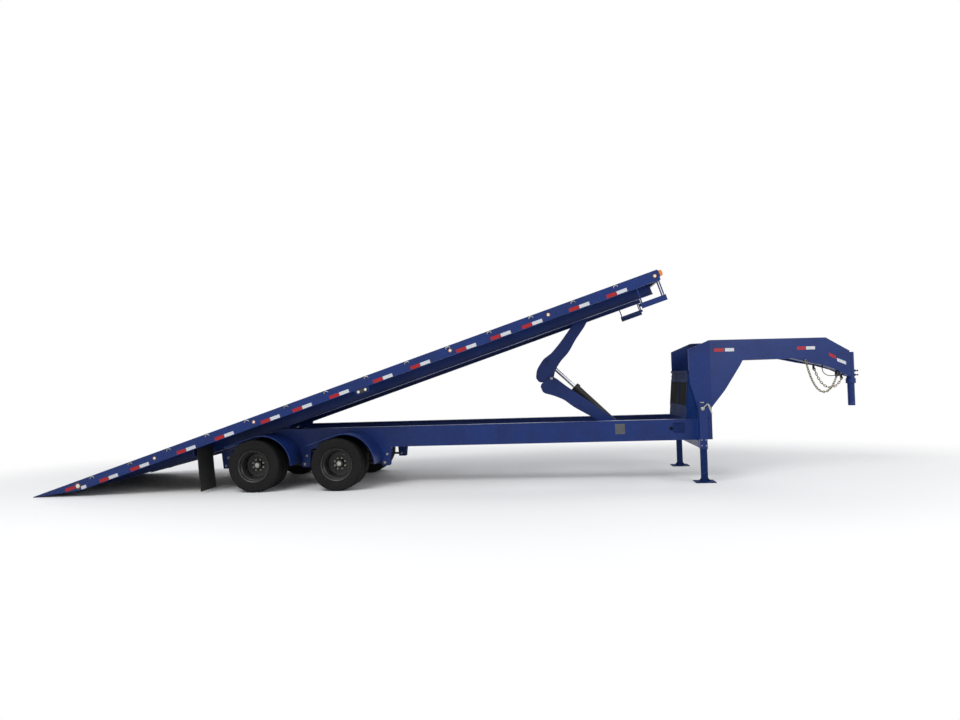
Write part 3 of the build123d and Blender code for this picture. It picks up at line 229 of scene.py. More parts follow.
def newGroup(name, inputs, outputs):
    # a value of four parts makes a colour input, and an output called Color is a colour
    group = bpy.data.node_groups.new(name, "ShaderNodeTree")
    for label, value in inputs.items():
        kind = "NodeSocketColor" if isinstance(value, tuple) else "NodeSocketFloat"
        group.interface.new_socket(name=label, in_out="INPUT", socket_type=kind).default_value = value
    for label in outputs:
        kind = "NodeSocketColor" if label == "Color" else "NodeSocketFloat"
        group.interface.new_socket(name=label, in_out="OUTPUT", socket_type=kind)
    return group, group.nodes.new("NodeGroupInput"), group.nodes.new("NodeGroupOutput")


def addNode(tree, kind, settings=None, values=None):
    node = tree.nodes.new(kind)
    for key, value in (settings or {}).items():
        setattr(node, key, value)
    for key, value in (values or {}).items():
        node.inputs[key].default_value = value
    return node


def noiseNode(tree, coordinate, scale, detail=4.0, rough=0.55, stretch=(1, 1, 1)):
    # noise at a scale given as bumps per metre, stretched where a finish runs one way
    mapping = addNode(tree, "ShaderNodeMapping", values={"Scale": stretch})
    tree.links.new(coordinate, mapping.inputs["Vector"])
    noise = addNode(tree, "ShaderNodeTexNoise", values={"Detail": detail, "Roughness": rough})
    if isinstance(scale, (int, float)):
        noise.inputs["Scale"].default_value = scale
    else:
        tree.links.new(scale, noise.inputs["Scale"])
    tree.links.new(mapping.outputs["Vector"], noise.inputs["Vector"])
    return noise.outputs["Fac"]


def rangeNode(tree, source, low, high, outLow=0.0, outHigh=1.0):
    node = addNode(tree, "ShaderNodeMapRange", {"interpolation_type": "SMOOTHSTEP"},
                   {"From Min": low, "From Max": high, "To Min": outLow, "To Max": outHigh})
    tree.links.new(source, node.inputs["Value"])
    return node.outputs["Result"]


def mathNode(tree, operation, first, second):
    node = addNode(tree, "ShaderNodeMath", {"operation": operation})
    for socket, value in zip(node.inputs, (first, second)):
        if isinstance(value, (int, float)):
            socket.default_value = value
        else:
            tree.links.new(value, socket)
    return node.outputs["Value"]


def multiply(tree, first, second):
    return mathNode(tree, "MULTIPLY", first, second)


def plus(tree, first, second):
    return mathNode(tree, "ADD", first, second)


def mixColour(tree, mask, first, second):
    node = addNode(tree, "ShaderNodeMix", {"data_type": "RGBA"})
    for socket, value in ((node.inputs[0], mask), (node.inputs[6], first), (node.inputs[7], second)):
        if isinstance(value, (int, float, tuple)):
            socket.default_value = value
        else:
            tree.links.new(value, socket)
    return node.outputs[2]


def makeRoadWear():
    # paint or rubber as it ages: cloudy tone, dust that settles on upward faces and low down, fine scratches
    group, start, end = newGroup("roadWear",
                                 {"Color": (0.5, 0.5, 0.5, 1), "Dust Color": (0.35, 0.32, 0.28, 1),
                                  "Scratch Color": (0.6, 0.6, 0.6, 1), "Dust": 0.3, "Scratches": 0.3,
                                  "Roughness": 0.4, "Grain": 120.0}, ("Color", "Roughness", "Height"))
    links = group.links
    coordinate = addNode(group, "ShaderNodeTexCoord").outputs["Object"]
    cloud = noiseNode(group, coordinate, 2.2, 5.0, 0.6)
    fine = noiseNode(group, coordinate, start.outputs["Grain"], 3.0, 0.6)
    speck = noiseNode(group, coordinate, 38.0, 6.0, 0.7)
    streak = noiseNode(group, coordinate, 14.0, 4.0, 0.65, (1.0, 1.0, 0.12))
    toned = mixColour(group, rangeNode(group, cloud, 0.35, 0.68, 0.0, 0.22), start.outputs["Color"],
                      (0.0, 0.0, 0.0, 1))
    normal = addNode(group, "ShaderNodeSeparateXYZ")
    links.new(addNode(group, "ShaderNodeNewGeometry").outputs["Normal"], normal.inputs["Vector"])
    upward = rangeNode(group, normal.outputs["Z"], 0.2, 0.95, 0.25, 1.0)
    place = addNode(group, "ShaderNodeSeparateXYZ")
    links.new(coordinate, place.inputs["Vector"])
    low = rangeNode(group, place.outputs["Z"], 1.0, 0.1, 0.25, 1.0)
    dustMask = multiply(group, mathNode(group, "MAXIMUM", upward, low), rangeNode(group, speck, 0.36, 0.74))
    dustMask = plus(group, dustMask, multiply(group, rangeNode(group, streak, 0.55, 0.8), 0.25))
    dustMask = multiply(group, dustMask, start.outputs["Dust"])
    dusty = mixColour(group, dustMask, toned, start.outputs["Dust Color"])
    scratch = noiseNode(group, coordinate, 90.0, 2.0, 0.4, (0.12, 1.0, 1.6))
    scratchMask = multiply(group, rangeNode(group, scratch, 0.69, 0.73), start.outputs["Scratches"])
    links.new(mixColour(group, scratchMask, dusty, start.outputs["Scratch Color"]), end.inputs["Color"])
    rough = plus(group, start.outputs["Roughness"], multiply(group, dustMask, 0.45))
    rough = plus(group, rough, multiply(group, rangeNode(group, cloud, 0.3, 0.7), 0.08))
    links.new(rough, end.inputs["Roughness"])
    height = mathNode(group, "SUBTRACT", multiply(group, fine, 0.6),
                      multiply(group, scratchMask, 0.6))
    links.new(height, end.inputs["Height"])
    return group


def makePrismCells():
    # the small cells inside reflective sheet and lamp lenses
    group, start, end = newGroup("prismCells", {"Color": (1, 1, 1, 1), "Cells": 260.0, "Depth": 0.3},
                                 ("Color", "Height"))
    coordinate = addNode(group, "ShaderNodeTexCoord").outputs["Object"]
    cells = addNode(group, "ShaderNodeTexVoronoi", {"feature": "DISTANCE_TO_EDGE"})
    group.links.new(coordinate, cells.inputs["Vector"])
    group.links.new(start.outputs["Cells"], cells.inputs["Scale"])
    edge = rangeNode(group, cells.outputs["Distance"], 0.0, 0.12)
    shade = multiply(group, mathNode(group, "SUBTRACT", 1.0, edge), start.outputs["Depth"])
    group.links.new(mixColour(group, shade, start.outputs["Color"], (0.02, 0.02, 0.02, 1)),
                    end.inputs["Color"])
    group.links.new(edge, end.inputs["Height"])
    return group


def makeWoodGrain():
    # sawn boards laid along the bed: grain lines, knots, and a tone of its own for every board
    group, start, end = newGroup("woodGrain",
                                 {"Light": (0.5, 0.38, 0.22, 1), "Dark": (0.2, 0.14, 0.08, 1),
                                  "Board Width": 0.2, "Lines": 70.0}, ("Color", "Roughness", "Height"))
    links = group.links
    turned = addNode(group, "ShaderNodeMapping",
                     values={"Rotation": (0, math.radians(layout["tiltDeg"]), 0)})
    links.new(addNode(group, "ShaderNodeTexCoord").outputs["Object"], turned.inputs["Vector"])
    place = addNode(group, "ShaderNodeSeparateXYZ")
    links.new(turned.outputs["Vector"], place.inputs["Vector"])
    board = mathNode(group, "FLOOR",
                     mathNode(group, "DIVIDE", place.outputs["Y"], start.outputs["Board Width"]), 0.0)
    own = addNode(group, "ShaderNodeTexWhiteNoise", {"noise_dimensions": "1D"})
    links.new(board, own.inputs["W"])
    shifted = addNode(group, "ShaderNodeCombineXYZ")
    links.new(plus(group, place.outputs["X"], multiply(group, own.outputs["Value"], 9.0)),
              shifted.inputs["X"])
    links.new(place.outputs["Y"], shifted.inputs["Y"])
    links.new(place.outputs["Z"], shifted.inputs["Z"])
    line = noiseNode(group, shifted.outputs["Vector"], start.outputs["Lines"], 6.0, 0.62, (0.035, 1.0, 1.0))
    wide = noiseNode(group, shifted.outputs["Vector"], 7.0, 4.0, 0.5, (0.25, 1.0, 1.0))
    knot = addNode(group, "ShaderNodeTexVoronoi", {"feature": "F1"}, {"Scale": 2.4})
    links.new(shifted.outputs["Vector"], knot.inputs["Vector"])
    knotMask = rangeNode(group, knot.outputs["Distance"], 0.075, 0.03)
    grain = plus(group, multiply(group, rangeNode(group, line, 0.35, 0.65), 0.6),
                 multiply(group, rangeNode(group, wide, 0.3, 0.7), 0.4))
    colour = mixColour(group, grain, start.outputs["Light"], start.outputs["Dark"])
    colour = mixColour(group, multiply(group, own.outputs["Value"], 0.35), colour, (0.3, 0.27, 0.22, 1))
    colour = mixColour(group, multiply(group, knotMask, 0.75), colour, (0.07, 0.04, 0.02, 1))
    links.new(colour, end.inputs["Color"])
    links.new(plus(group, 0.6, multiply(group, grain, 0.25)), end.inputs["Roughness"])
    links.new(mathNode(group, "SUBTRACT", 1.0, grain), end.inputs["Height"])
    return group


roadWear, prismCells, woodGrain = makeRoadWear(), makePrismCells(), makeWoodGrain()


def newMaterial(name, effect, values, surface, bump=(0.1, 0.001), rough=True):
    # one finish: its effect group with its own values, and a plain Principled surface
    material = bpy.data.materials.new(name)
    material.use_nodes = True
    tree = material.node_tree
    shader = tree.nodes["Principled BSDF"]
    for key, value in surface.items():
        shader.inputs[key].default_value = value
    group = tree.nodes.new("ShaderNodeGroup")
    group.node_tree = effect
    for key, value in values.items():
        group.inputs[key].default_value = value
    tree.links.new(group.outputs["Color"], shader.inputs["Base Color"])
    if rough:
        tree.links.new(group.outputs["Roughness"], shader.inputs["Roughness"])
    bumpNode = addNode(tree, "ShaderNodeBump", values={"Strength": bump[0], "Distance": bump[1]})
    tree.links.new(group.outputs["Height"], bumpNode.inputs["Height"])
    tree.links.new(bumpNode.outputs["Normal"], shader.inputs["Normal"])
    return material


def wearMaterial(name, colour, dust, scratches, roughness, grain, surface, bump=(0.1, 0.001),
                 dustColour=(0.30, 0.29, 0.27, 1), scratchColour=(0.5, 0.52, 0.55, 1)):
    return newMaterial(name, roadWear, {"Color": (*colour, 1), "Dust": dust, "Scratches": scratches,
                                        "Roughness": roughness, "Grain": grain, "Dust Color": dustColour,
                                        "Scratch Color": scratchColour}, surface, bump)


bluePaint = wearMaterial("bluePaint", (0.0026, 0.0190, 0.120), 0.04, 0.05, 0.36, 420.0,
                         {"Specular IOR Level": 0.22, "Coat Weight": 0.08, "Coat Roughness": 0.12},
                         (0.12, 0.0006))
dullBlue = wearMaterial("dullBlue", (0.0035, 0.0175, 0.090), 0.05, 0.05, 0.60, 300.0,
                        {"Specular IOR Level": 0.04}, (0.2, 0.0008))
blackPaint = wearMaterial("blackPaint", (0.008, 0.008, 0.009), 0.14, 0.12, 0.45, 260.0,
                          {"Specular IOR Level": 0.3}, (0.2, 0.0008))
rimPaint = wearMaterial("rimPaint", (0.006, 0.006, 0.007), 0.10, 0.06, 0.34, 320.0,
                        {"Specular IOR Level": 0.35}, (0.15, 0.0006))
bareSteel = wearMaterial("bareSteel", (0.34, 0.34, 0.35), 0.25, 0.4, 0.32, 500.0, {"Metallic": 1.0},
                         (0.2, 0.0005), (0.10, 0.07, 0.04, 1))
platedSteel = wearMaterial("platedSteel", (0.060, 0.065, 0.072), 0.3, 0.3, 0.45, 300.0,
                           {"Specular IOR Level": 0.3}, (0.2, 0.0005))
zinc = wearMaterial("zinc", (0.42, 0.41, 0.38), 0.3, 0.2, 0.42, 380.0, {"Metallic": 1.0}, (0.25, 0.0006),
                    (0.30, 0.27, 0.20, 1))
chainZinc = wearMaterial("chainZinc", (0.30, 0.27, 0.20), 0.3, 0.2, 0.42, 380.0, {"Metallic": 1.0},
                         (0.25, 0.0006), (0.14, 0.11, 0.07, 1))
chrome = wearMaterial("chrome", (0.58, 0.60, 0.64), 0.05, 0.12, 0.12, 600.0, {"Metallic": 1.0},
                      (0.05, 0.0002))
tyreRubber = wearMaterial("tyreRubber", (0.0055, 0.0055, 0.006), 0.09, 0.0, 0.70, 260.0,
                          {"Specular IOR Level": 0.14}, (0.4, 0.0012), (0.13, 0.12, 0.11, 1))
flapRubber = wearMaterial("flapRubber", (0.009, 0.009, 0.010), 0.16, 0.1, 0.55, 180.0,
                          {"Specular IOR Level": 0.35}, (0.35, 0.0012), (0.15, 0.14, 0.12, 1),
                          (0.08, 0.08, 0.08, 1))
mattBlack = wearMaterial("mattBlack", (0.006, 0.007, 0.010), 0.03, 0.03, 0.75, 260.0,
                         {"Specular IOR Level": 0.03}, (0.2, 0.0008))
blackPlastic = wearMaterial("blackPlastic", (0.010, 0.010, 0.010), 0.15, 0.1, 0.38, 300.0, {}, (0.2, 0.0006))
cableSheath = wearMaterial("cableSheath", (0.014, 0.014, 0.015), 0.12, 0.05, 0.45, 340.0, {}, (0.2, 0.0005))


def cellMaterial(name, colour, cells, depth, surface, bump):
    return newMaterial(name, prismCells, {"Color": (*colour, 1), "Cells": cells, "Depth": depth},
                       surface, bump, False)


redTape = cellMaterial("redTape", (0.33, 0.005, 0.007), 210.0, 0.35,
                       {"Roughness": 0.35, "Specular IOR Level": 0.3}, (0.15, 0.0006))
whiteTape = cellMaterial("whiteTape", (0.52, 0.54, 0.57), 210.0, 0.30,
                         {"Roughness": 0.3, "Specular IOR Level": 0.3}, (0.15, 0.0006))
amberLens = cellMaterial("amberLens", (0.62, 0.17, 0.010), 150.0, 0.3,
                         {"Roughness": 0.12, "Coat Weight": 0.8}, (0.3, 0.001))
redLens = cellMaterial("redLens", (0.42, 0.008, 0.010), 150.0, 0.3, {"Roughness": 0.12, "Coat Weight": 0.8},
                       (0.3, 0.001))
clearLens = cellMaterial("clearLens", (0.60, 0.62, 0.58), 150.0, 0.2, {"Roughness": 0.1, "Coat Weight": 0.8},
                         (0.3, 0.001))
planks = newMaterial("planks", woodGrain,
                     {"Light": (0.36, 0.27, 0.15, 1), "Dark": (0.15, 0.10, 0.05, 1), "Board Width": 0.2489,
                      "Lines": 75.0}, {"Specular IOR Level": 0.3}, (0.5, 0.002))
print("materials made")

slotFinish = {"blue_paint": bluePaint, "black_paint": blackPaint, "rim_paint": rimPaint,
              "bare_steel": bareSteel, "chrome": chrome, "tyre": tyreRubber, "rubber": flapRubber,
              "planks": planks, "lamps": amberLens, "zinc": zinc, "amber_lens": amberLens,
              "red_lens": redLens, "black_plastic": blackPlastic}
plainNodes = ("toolbox", "toolbox_lid")
for row in frame["record"]["subparts"]:
    shown = frame["nodes"][row["node"]]
    shown.data.materials.clear()
    shown.data.materials.append(dullBlue if row["node"] in plainNodes else slotFinish[row["material_slot"]])


# tyres: road tread with zigzag grooves and notched shoulders, one piece for each corner's twin pair
tyre = {"axleZ": 0.3835, "axleXs": {"rear": 0.0, "front": 1.245}, "outerY": 1.108, "innerY": 0.854,
        "notches": 60, "notchDepth": 0.007, "zigzag": 0.0022, "grooveDepth": 0.010,
        # one block and one notch, as shares of their pitch round the tyre
        "notchShares": (0.0, 0.58, 0.63, 0.95)}


def tyreProfile():
    # (y, r, kind) from the middle of the tread outwards and round to the bead
    crown = tyre["axleZ"]
    floor = crown - tyre["grooveDepth"]
    half = [(0.0, crown, "rib"), (0.0175, crown, "groove"), (0.0195, floor, "groove"),
            (0.0245, floor, "groove"), (0.0265, crown, "groove"), (0.0520, crown - 0.0004, "groove"),
            (0.0540, floor, "groove"), (0.0590, floor, "groove"), (0.0610, crown - 0.0008, "groove"),
            (0.0800, crown - 0.0022, "rib"), (0.0885, crown - 0.0050, "shoulder"),
            (0.0950, crown - 0.0130, "shoulder"), (0.0975, crown - 0.0280, "shoulder"),
            (0.0985, 0.3450, "wall"), (0.1008, 0.3425, "wall"), (0.1012, 0.3380, "wall"),
            (0.1005, 0.3355, "wall"), (0.1030, 0.3180, "wall"), (0.1038, 0.3000, "wall"),
            (0.1025, 0.2790, "wall"), (0.0985, 0.2600, "wall"), (0.0990, 0.2560, "wall"),
            (0.0970, 0.2520, "wall"), (0.0935, 0.2490, "wall"), (0.0915, 0.2380, "wall"),
            (0.0890, 0.2290, "wall"), (0.0800, 0.2225, "wall")]
    return half[::-1] + [(-y, radius, kind) for y, radius, kind in half[1:]]


def addTyre(bm, centreY, place):
    profile = tyreProfile()
    columns = []
    for notch in range(tyre["notches"]):
        for index, share in enumerate(tyre["notchShares"]):
            turn = 2 * math.pi * (notch + share) / tyre["notches"]
            low = index >= 2
            swing = tyre["zigzag"] if index < 2 else -tyre["zigzag"]
            column = []
            for y, radius, kind in profile:
                if kind == "shoulder" and low:
                    radius -= tyre["notchDepth"]
                if kind == "groove":
                    y += swing
                column.append(bm.verts.new((radius * math.sin(turn), centreY + y, -radius * math.cos(turn))))
            columns.append(column)
    joinRings(bm, columns, closed=True, backwards=True)
    settle(bm, columns, place)


def axlePlace(end):
    return moved(tyre["axleXs"][end], 0, tyre["axleZ"])


# each corner's middle, turned over for the far side
cornerPlaces = {end + "_" + side: axlePlace(end) @ turn for end in ("rear", "front")
                for side, turn in zip(("near", "far"), bothSides)}
for corner, place in cornerPlaces.items():
    bm = bmesh.new()
    for centreY in (-tyre["outerY"], -tyre["innerY"]):
        addTyre(bm, centreY, place)
    finishPiece("tyrePair_" + corner, bm, tyreRubber, corner + "_wheels", sharp=32,
                replaced=["tyres_" + corner])
print("tyres made")


# wheels: two deep-dish steel rims bolted face to face on the hub, with the brake drum behind them
wheel = {"faceY": 0.981, "rimOffset": 0.127, "discThick": 0.010, "barrelHalf": 0.100, "lugCircle": 0.0826,
         "lugs": 8, "lugAcross": 0.028, "lugHeight": 0.026, "handHoles": 8, "discSides": 96,
         "openColumns": 5, "handHoleFrom": 0.036, "handHoleTo": 0.078}


def addRim(bm, side, place):
    # side is -1 for the outer rim, which opens outwards, and 1 for its twin
    face = -wheel["faceY"]
    centre = face + side * wheel["rimOffset"]
    half = wheel["barrelHalf"]
    outside = [(0.236, -half), (0.238, -half + 0.004), (0.236, -half + 0.008), (0.229, -half + 0.010),
               (0.2225, -half + 0.016), (0.2215, -0.044), (0.206, -0.032), (0.206, 0.032), (0.2215, 0.044),
               (0.2225, half - 0.016), (0.229, half - 0.010), (0.236, half - 0.008), (0.238, half - 0.004),
               (0.236, half)]
    inside = [(0.229, half - 0.002), (0.221, half - 0.006), (0.2145, half - 0.014), (0.2125, 0.048),
              (0.198, 0.035), (0.198, -0.035), (0.2125, -0.048), (0.2145, -half + 0.014),
              (0.221, -half + 0.006), (0.229, -half + 0.002)]
    addTurned(bm, [(radius, centre + along) for radius, along in outside + inside], 72, place, closed=True)
    # the disc runs out flat from the hub, bends into a cone with hand holes, and ends inside the barrel
    sides = wheel["discSides"]
    perHole = sides // wheel["handHoles"]
    path = [(0.062, 0.0), (0.105, 0.0), (0.108, 0.004), (0.150, 0.004), (0.163, 0.004), (0.172, 0.008),
            (0.178, 0.015), (0.182, 0.026)]
    path += [(0.185, wheel["handHoleFrom"]), (0.188, 0.057), (0.190, wheel["handHoleTo"])]
    path += [(0.195, 0.100), (0.1985, 0.120), (0.2015, 0.138)]
    skins = []
    for offset in (0.0, wheel["discThick"]):
        skin = []
        for radius, along in path:
            flat = along < 0.009
            shrink, lift = (0.0, offset) if flat else (offset, 0.0)
            ring = []
            for step in range(sides):
                turn, wide = 2 * math.pi * step / sides, radius - shrink
                ring.append(bm.verts.new((wide * math.sin(turn), face + side * (along + lift),
                                          -wide * math.cos(turn))))
            skin.append(ring)
        skins.append(skin)
    holeRows = (8, 9)

    def isHole(row, step):
        return row in holeRows and (step % perHole) < wheel["openColumns"]

    rows = len(path) - 1
    for skin in skins:
        for row in range(rows):
            for step in range(sides):
                if not isHole(row, step):
                    following = (step + 1) % sides
                    bm.faces.new((skin[row][step], skin[row][following], skin[row + 1][following],
                                  skin[row + 1][step]))
    back, front = skins
    for row in range(rows):
        for step in range(sides):
            following = (step + 1) % sides
            if isHole(row, step):
                if not isHole(row, (step - 1) % sides):
                    bm.faces.new((back[row][step], back[row + 1][step], front[row + 1][step],
                                  front[row][step]))
                if not isHole(row, following):
                    bm.faces.new((back[row][following], front[row][following], front[row + 1][following],
                                  back[row + 1][following]))
                if row == holeRows[0]:
                    bm.faces.new((back[row][step], front[row][step], front[row][following],
                                  back[row][following]))
                if row == holeRows[-1]:
                    bm.faces.new((back[row + 1][step], back[row + 1][following], front[row + 1][following],
                                  front[row + 1][step]))
    for row in (0, rows):
        joinRings(bm, [back[row], front[row]], backwards=True)
    settle(bm, back + front, place)


def addTurnedAt(bm, start, profile, sides, place, closed=False):
    # a turned form whose profile is measured from start
    addTurned(bm, [(radius, start + along) for radius, along in profile], sides, place, closed)


def addHub(bm, place):
    # hub barrel, bolt flange and the finned brake drum
    face = -wheel["faceY"]
    hub = [(0.040, 0.243), (0.076, 0.240), (0.078, 0.026), (0.112, 0.022), (0.112, 0.0105), (0.0610, 0.0105),
           (0.0605, -0.030), (0.0590, -0.050), (0.054, -0.056), (0.054, -0.072), (0.040, -0.074)]
    addTurnedAt(bm, face, hub, 40, place, closed=True)
    drum = [(0.150, 0.031), (0.157, 0.037), (0.158, 0.060)]
    for rib in range(4):
        along = 0.075 + rib * 0.035
        drum += [(0.158, along), (0.1615, along + 0.003), (0.1615, along + 0.009), (0.158, along + 0.012)]
    drum += [(0.158, 0.222), (0.164, 0.225), (0.164, 0.239), (0.148, 0.239), (0.146, 0.044), (0.078, 0.044),
             (0.078, 0.031)]
    addTurnedAt(bm, face, drum, 64, place, closed=True)


def addHubCap(bm, place):
    cap = [(0.0, -0.092), (0.020, -0.0915), (0.032, -0.089), (0.037, -0.082), (0.038, -0.073),
           (0.046, -0.073), (0.046, -0.069), (0.0, -0.069)]
    addTurnedAt(bm, -wheel["faceY"], cap, 40, place)


def addLugs(bm, place):
    face = -wheel["faceY"]
    across, tip = wheel["lugAcross"], -wheel["lugHeight"]
    for index in range(wheel["lugs"]):
        turn = 2 * math.pi * (index + 0.5) / wheel["lugs"]
        at = place @ moved(wheel["lugCircle"] * math.sin(turn), face - 0.0095,
                           -wheel["lugCircle"] * math.cos(turn))
        addTurned(bm, [(across * 0.66, 0.0), (across * 0.66, -0.005), (across * 0.56, -0.008)], 20, at)
        addTurned(bm, [(across * 0.56, -0.006), (across * 0.577, -0.010), (across * 0.577, tip + 0.003),
                       (across * 0.46, tip)], 6, at)
        addTurned(bm, [(0.0075, tip), (0.0075, -0.040), (0.006, -0.042)], 12, at)


valveStem = {"radius": 0.0045, "path": ((0.0, 0.197), (-0.006, 0.180), (-0.022, 0.172), (-0.052, 0.170)),
             # where each rim's stem stands: its turn round the axle in radians, and how far out
             "spots": ((0.6, -1.075), (3.7, -0.888))}
for corner, place in cornerPlaces.items():
    body = corner + "_wheels"
    bm = bmesh.new()
    addRim(bm, -1, place)
    addRim(bm, 1, place)
    addHub(bm, place)
    finishPiece("wheelPair_" + corner, bm, rimPaint, body, sharp=30,
                replaced=["wheel_" + corner])
    bm = bmesh.new()
    addHubCap(bm, place)
    addLugs(bm, place)
    finishPiece("hubBolts_" + corner, bm, zinc, body, sharp=30)
    bm = bmesh.new()
    for angle, out in valveStem["spots"]:
        turnTo = Matrix.Rotation(angle, 4, "Y")
        stem = [turnTo @ Vector((0.0, out + along, z)) for along, z in valveStem["path"]]
        addTube(bm, stem, valveStem["radius"], 8, place=place)
    finishPiece("valveStems_" + corner, bm, bareSteel, body)
print("wheels made")


# axles, leaf springs and what clamps them
axle = {"tubeR": 0.0635, "rootY": 0.724, "spindleR": 0.0378, "endY": 1.040, "backR": 0.154,
        "backY": (0.723, 0.735)}
spring = {"y": 0.650, "width": 0.076, "half": 0.596, "rise": 0.034, "flat": 0.88, "leafStep": 0.16,
          "leaf": 0.011, "leaves": 5, "seat": 0.012, "seatHalf": 0.06, "seatLow": 0.045}


def leafRise(reach):
    return spring["rise"] * min(1.0, abs(reach) / (spring["flat"] * spring["half"])) ** 2


for end in tyre["axleXs"]:
    bm = bmesh.new()
    tube, root, plate, spindle = (axle[key] for key in ("tubeR", "rootY", "backR", "spindleR"))
    backIn, backOut = axle["backY"]
    half = [(tube, 0.0), (tube, root - 0.020), (tube + 0.006, root - 0.012), (tube + 0.006, root),
            (plate - 0.05, root - 0.001), (plate, backIn), (plate, backOut), (plate - 0.05, backOut),
            (0.050, backOut), (spindle, backOut + 0.003), (spindle, axle["endY"])]
    addTurned(bm, [(radius, -along) for radius, along in half[::-1]] + half[1:], 40, axlePlace(end))
    finishPiece("axleBeam_" + end, bm, blackPaint, "frame", sharp=30,
                replaced=["axle_" + end])

# U-bolts with the plate over the leaves that they hold, and the clips round the leaves
uBolt = {"half": 0.0725, "out": 0.010, "radius": 0.0078, "top": 0.092, "nutUp": 0.069, "nut": (0.024, 0.016),
         "plateHalf": 0.095, "plateOut": 0.024, "plateTop": 0.013}
clip = {"reach": 0.33, "half": 0.016, "thick": 0.006, "down": 0.042}
bm, clamps = bmesh.new(), bmesh.new()
axleZ, bend = tyre["axleZ"], uBolt["half"]
base = axleZ + axle["tubeR"] + spring["seat"]
top = base + spring["leaves"] * spring["leaf"]
inner, outer = -spring["y"] - spring["width"] / 2, -spring["y"] + spring["width"] / 2
for x in tyre["axleXs"].values():
    for turn in bothSides:
        for index in range(spring["leaves"]):
            reach = spring["half"] * (1 - spring["leafStep"] * index)
            low = base + (spring["leaves"] - 1 - index) * spring["leaf"]
            steps = [reach * (step / 12.0) for step in range(-12, 13)]
            upper = [(x + step, low + spring["leaf"] - 0.0005 + leafRise(step)) for step in steps]
            under = [(x + step, low + leafRise(step)) for step in steps]
            addOutline(bm, upper + under[::-1], inner, outer, turn)
        addBox(bm, (x - spring["seatHalf"], inner, axleZ + spring["seatLow"]),
               (x + spring["seatHalf"], outer, base), turn)
        for y in (inner - uBolt["out"], outer + uBolt["out"]):
            bolt = [(x - bend, y, base + uBolt["top"]), (x - bend, y, axleZ)]
            bolt += [(x - bend * math.cos(step * math.pi / 12), y,
                      axleZ - bend * math.sin(step * math.pi / 12)) for step in range(1, 12)]
            bolt += [(x + bend, y, axleZ), (x + bend, y, base + uBolt["top"])]
            addTube(clamps, bolt, uBolt["radius"], 10, place=turn)
            for legX in (x - bend, x + bend):
                addBolt(clamps, turn @ moved(legX, y, base + uBolt["nutUp"]) @ spun(-90, "X"), *uBolt["nut"])
        half, out = uBolt["plateHalf"], uBolt["plateOut"]
        addBox(clamps, (x - half, inner - out, top + 0.0005),
               (x + half, outer + out, top + uBolt["plateTop"]), turn)
        for reach in (-clip["reach"], clip["reach"]):
            up = top + leafRise(reach)
            x0, x1, down = x + reach - clip["half"], x + reach + clip["half"], up - clip["down"]
            for y0, y1, low in ((inner - clip["thick"], inner, down), (outer, outer + clip["thick"], down),
                                (inner, outer, up)):
                addBox(clamps, (x0, y0, low), (x1, y1, up + clip["thick"]), turn)
finishPiece("springLeaves", bm, blackPaint, "frame", bevel=0.001, replaced=["leaf_springs"])
finishPiece("springClamps", clamps, blackPaint, "frame", bevel=0.001)

hanger = {"xs": (-0.6225, 0.6225, 1.8675), "boltZs": (0.470, 0.345), "boltOut": 0.051, "flare": 0.3,
          "midZ": 0.4, "bolt": (0.026, 0.014, 0.006)}
# torque arms: their eyes' offsets from a hanger and from the axle, and the ears that hold the rear eyes
arm = {"eyeBack": 0.010, "eyeZ": 0.342, "seatAhead": 0.085, "seatDown": 0.030, "radius": 0.018,
       "nutR": 0.026, "nutFrom": 0.30, "nutTo": 0.38, "bossR": 0.030, "bossHalf": 0.034, "earHalf": 0.036,
       "ear": ((0.03, -0.03), (0.03, 0.03), (-0.06, 0.075), (-0.075, 0.03))}
bm, arms = bmesh.new(), bmesh.new()
for index, x in enumerate(hanger["xs"]):
    for turn in bothSides:
        for y, facing in ((-spring["y"] - hanger["boltOut"], spun(0, "Z")),
                          (-spring["y"] + hanger["boltOut"], spun(180, "Z"))):
            for z in hanger["boltZs"]:
                boltX = x + (z - hanger["midZ"]) * hanger["flare"]
                addBolt(bm, turn @ moved(boltX, y, z) @ facing, *hanger["bolt"])
        if index:
            # a torque arm runs from the front and the middle hanger to the axle behind it
            eye = Vector((x - arm["eyeBack"], -spring["y"], arm["eyeZ"]))
            seatX = x + hanger["xs"][0] + arm["seatAhead"]
            seat = Vector((seatX, -spring["y"], tyre["axleZ"] - arm["seatDown"]))
            place, length = alongLine(eye, seat)
            nutLow, nutHigh = length * arm["nutFrom"], length * arm["nutTo"]
            for radius, low, high, sides in ((arm["radius"], 0.0, length, 16),
                                             (arm["nutR"], nutLow, nutHigh, 6)):
                addTurned(arms, [(radius, low), (radius, high)], sides, turn @ place)
            boss = [(arm["bossR"], -arm["bossHalf"]), (arm["bossR"], arm["bossHalf"])]
            for spot in (eye, seat):
                addTurned(arms, boss, 20, turn @ moved(*spot))
            ear = [(seat.x + along, seat.z + up) for along, up in arm["ear"]]
            addOutline(arms, ear, -spring["y"] - arm["earHalf"], -spring["y"] + arm["earHalf"], turn)
finishPiece("hangerBolts", bm, zinc, "frame")
finishPiece("torqueArms", arms, blackPaint, "frame", bevel=0.001)
print("axles and springs made")


# fenders: one rolled sheet over each twin pair with a wired edge
fender = {"radius": 0.450, "shift": 0.120, "sheet": 0.004, "outY": 1.212, "inY": 0.700, "slopeDeg": 18.0,
          "tail": 0.440, "steps": 36, "wire": 0.007}


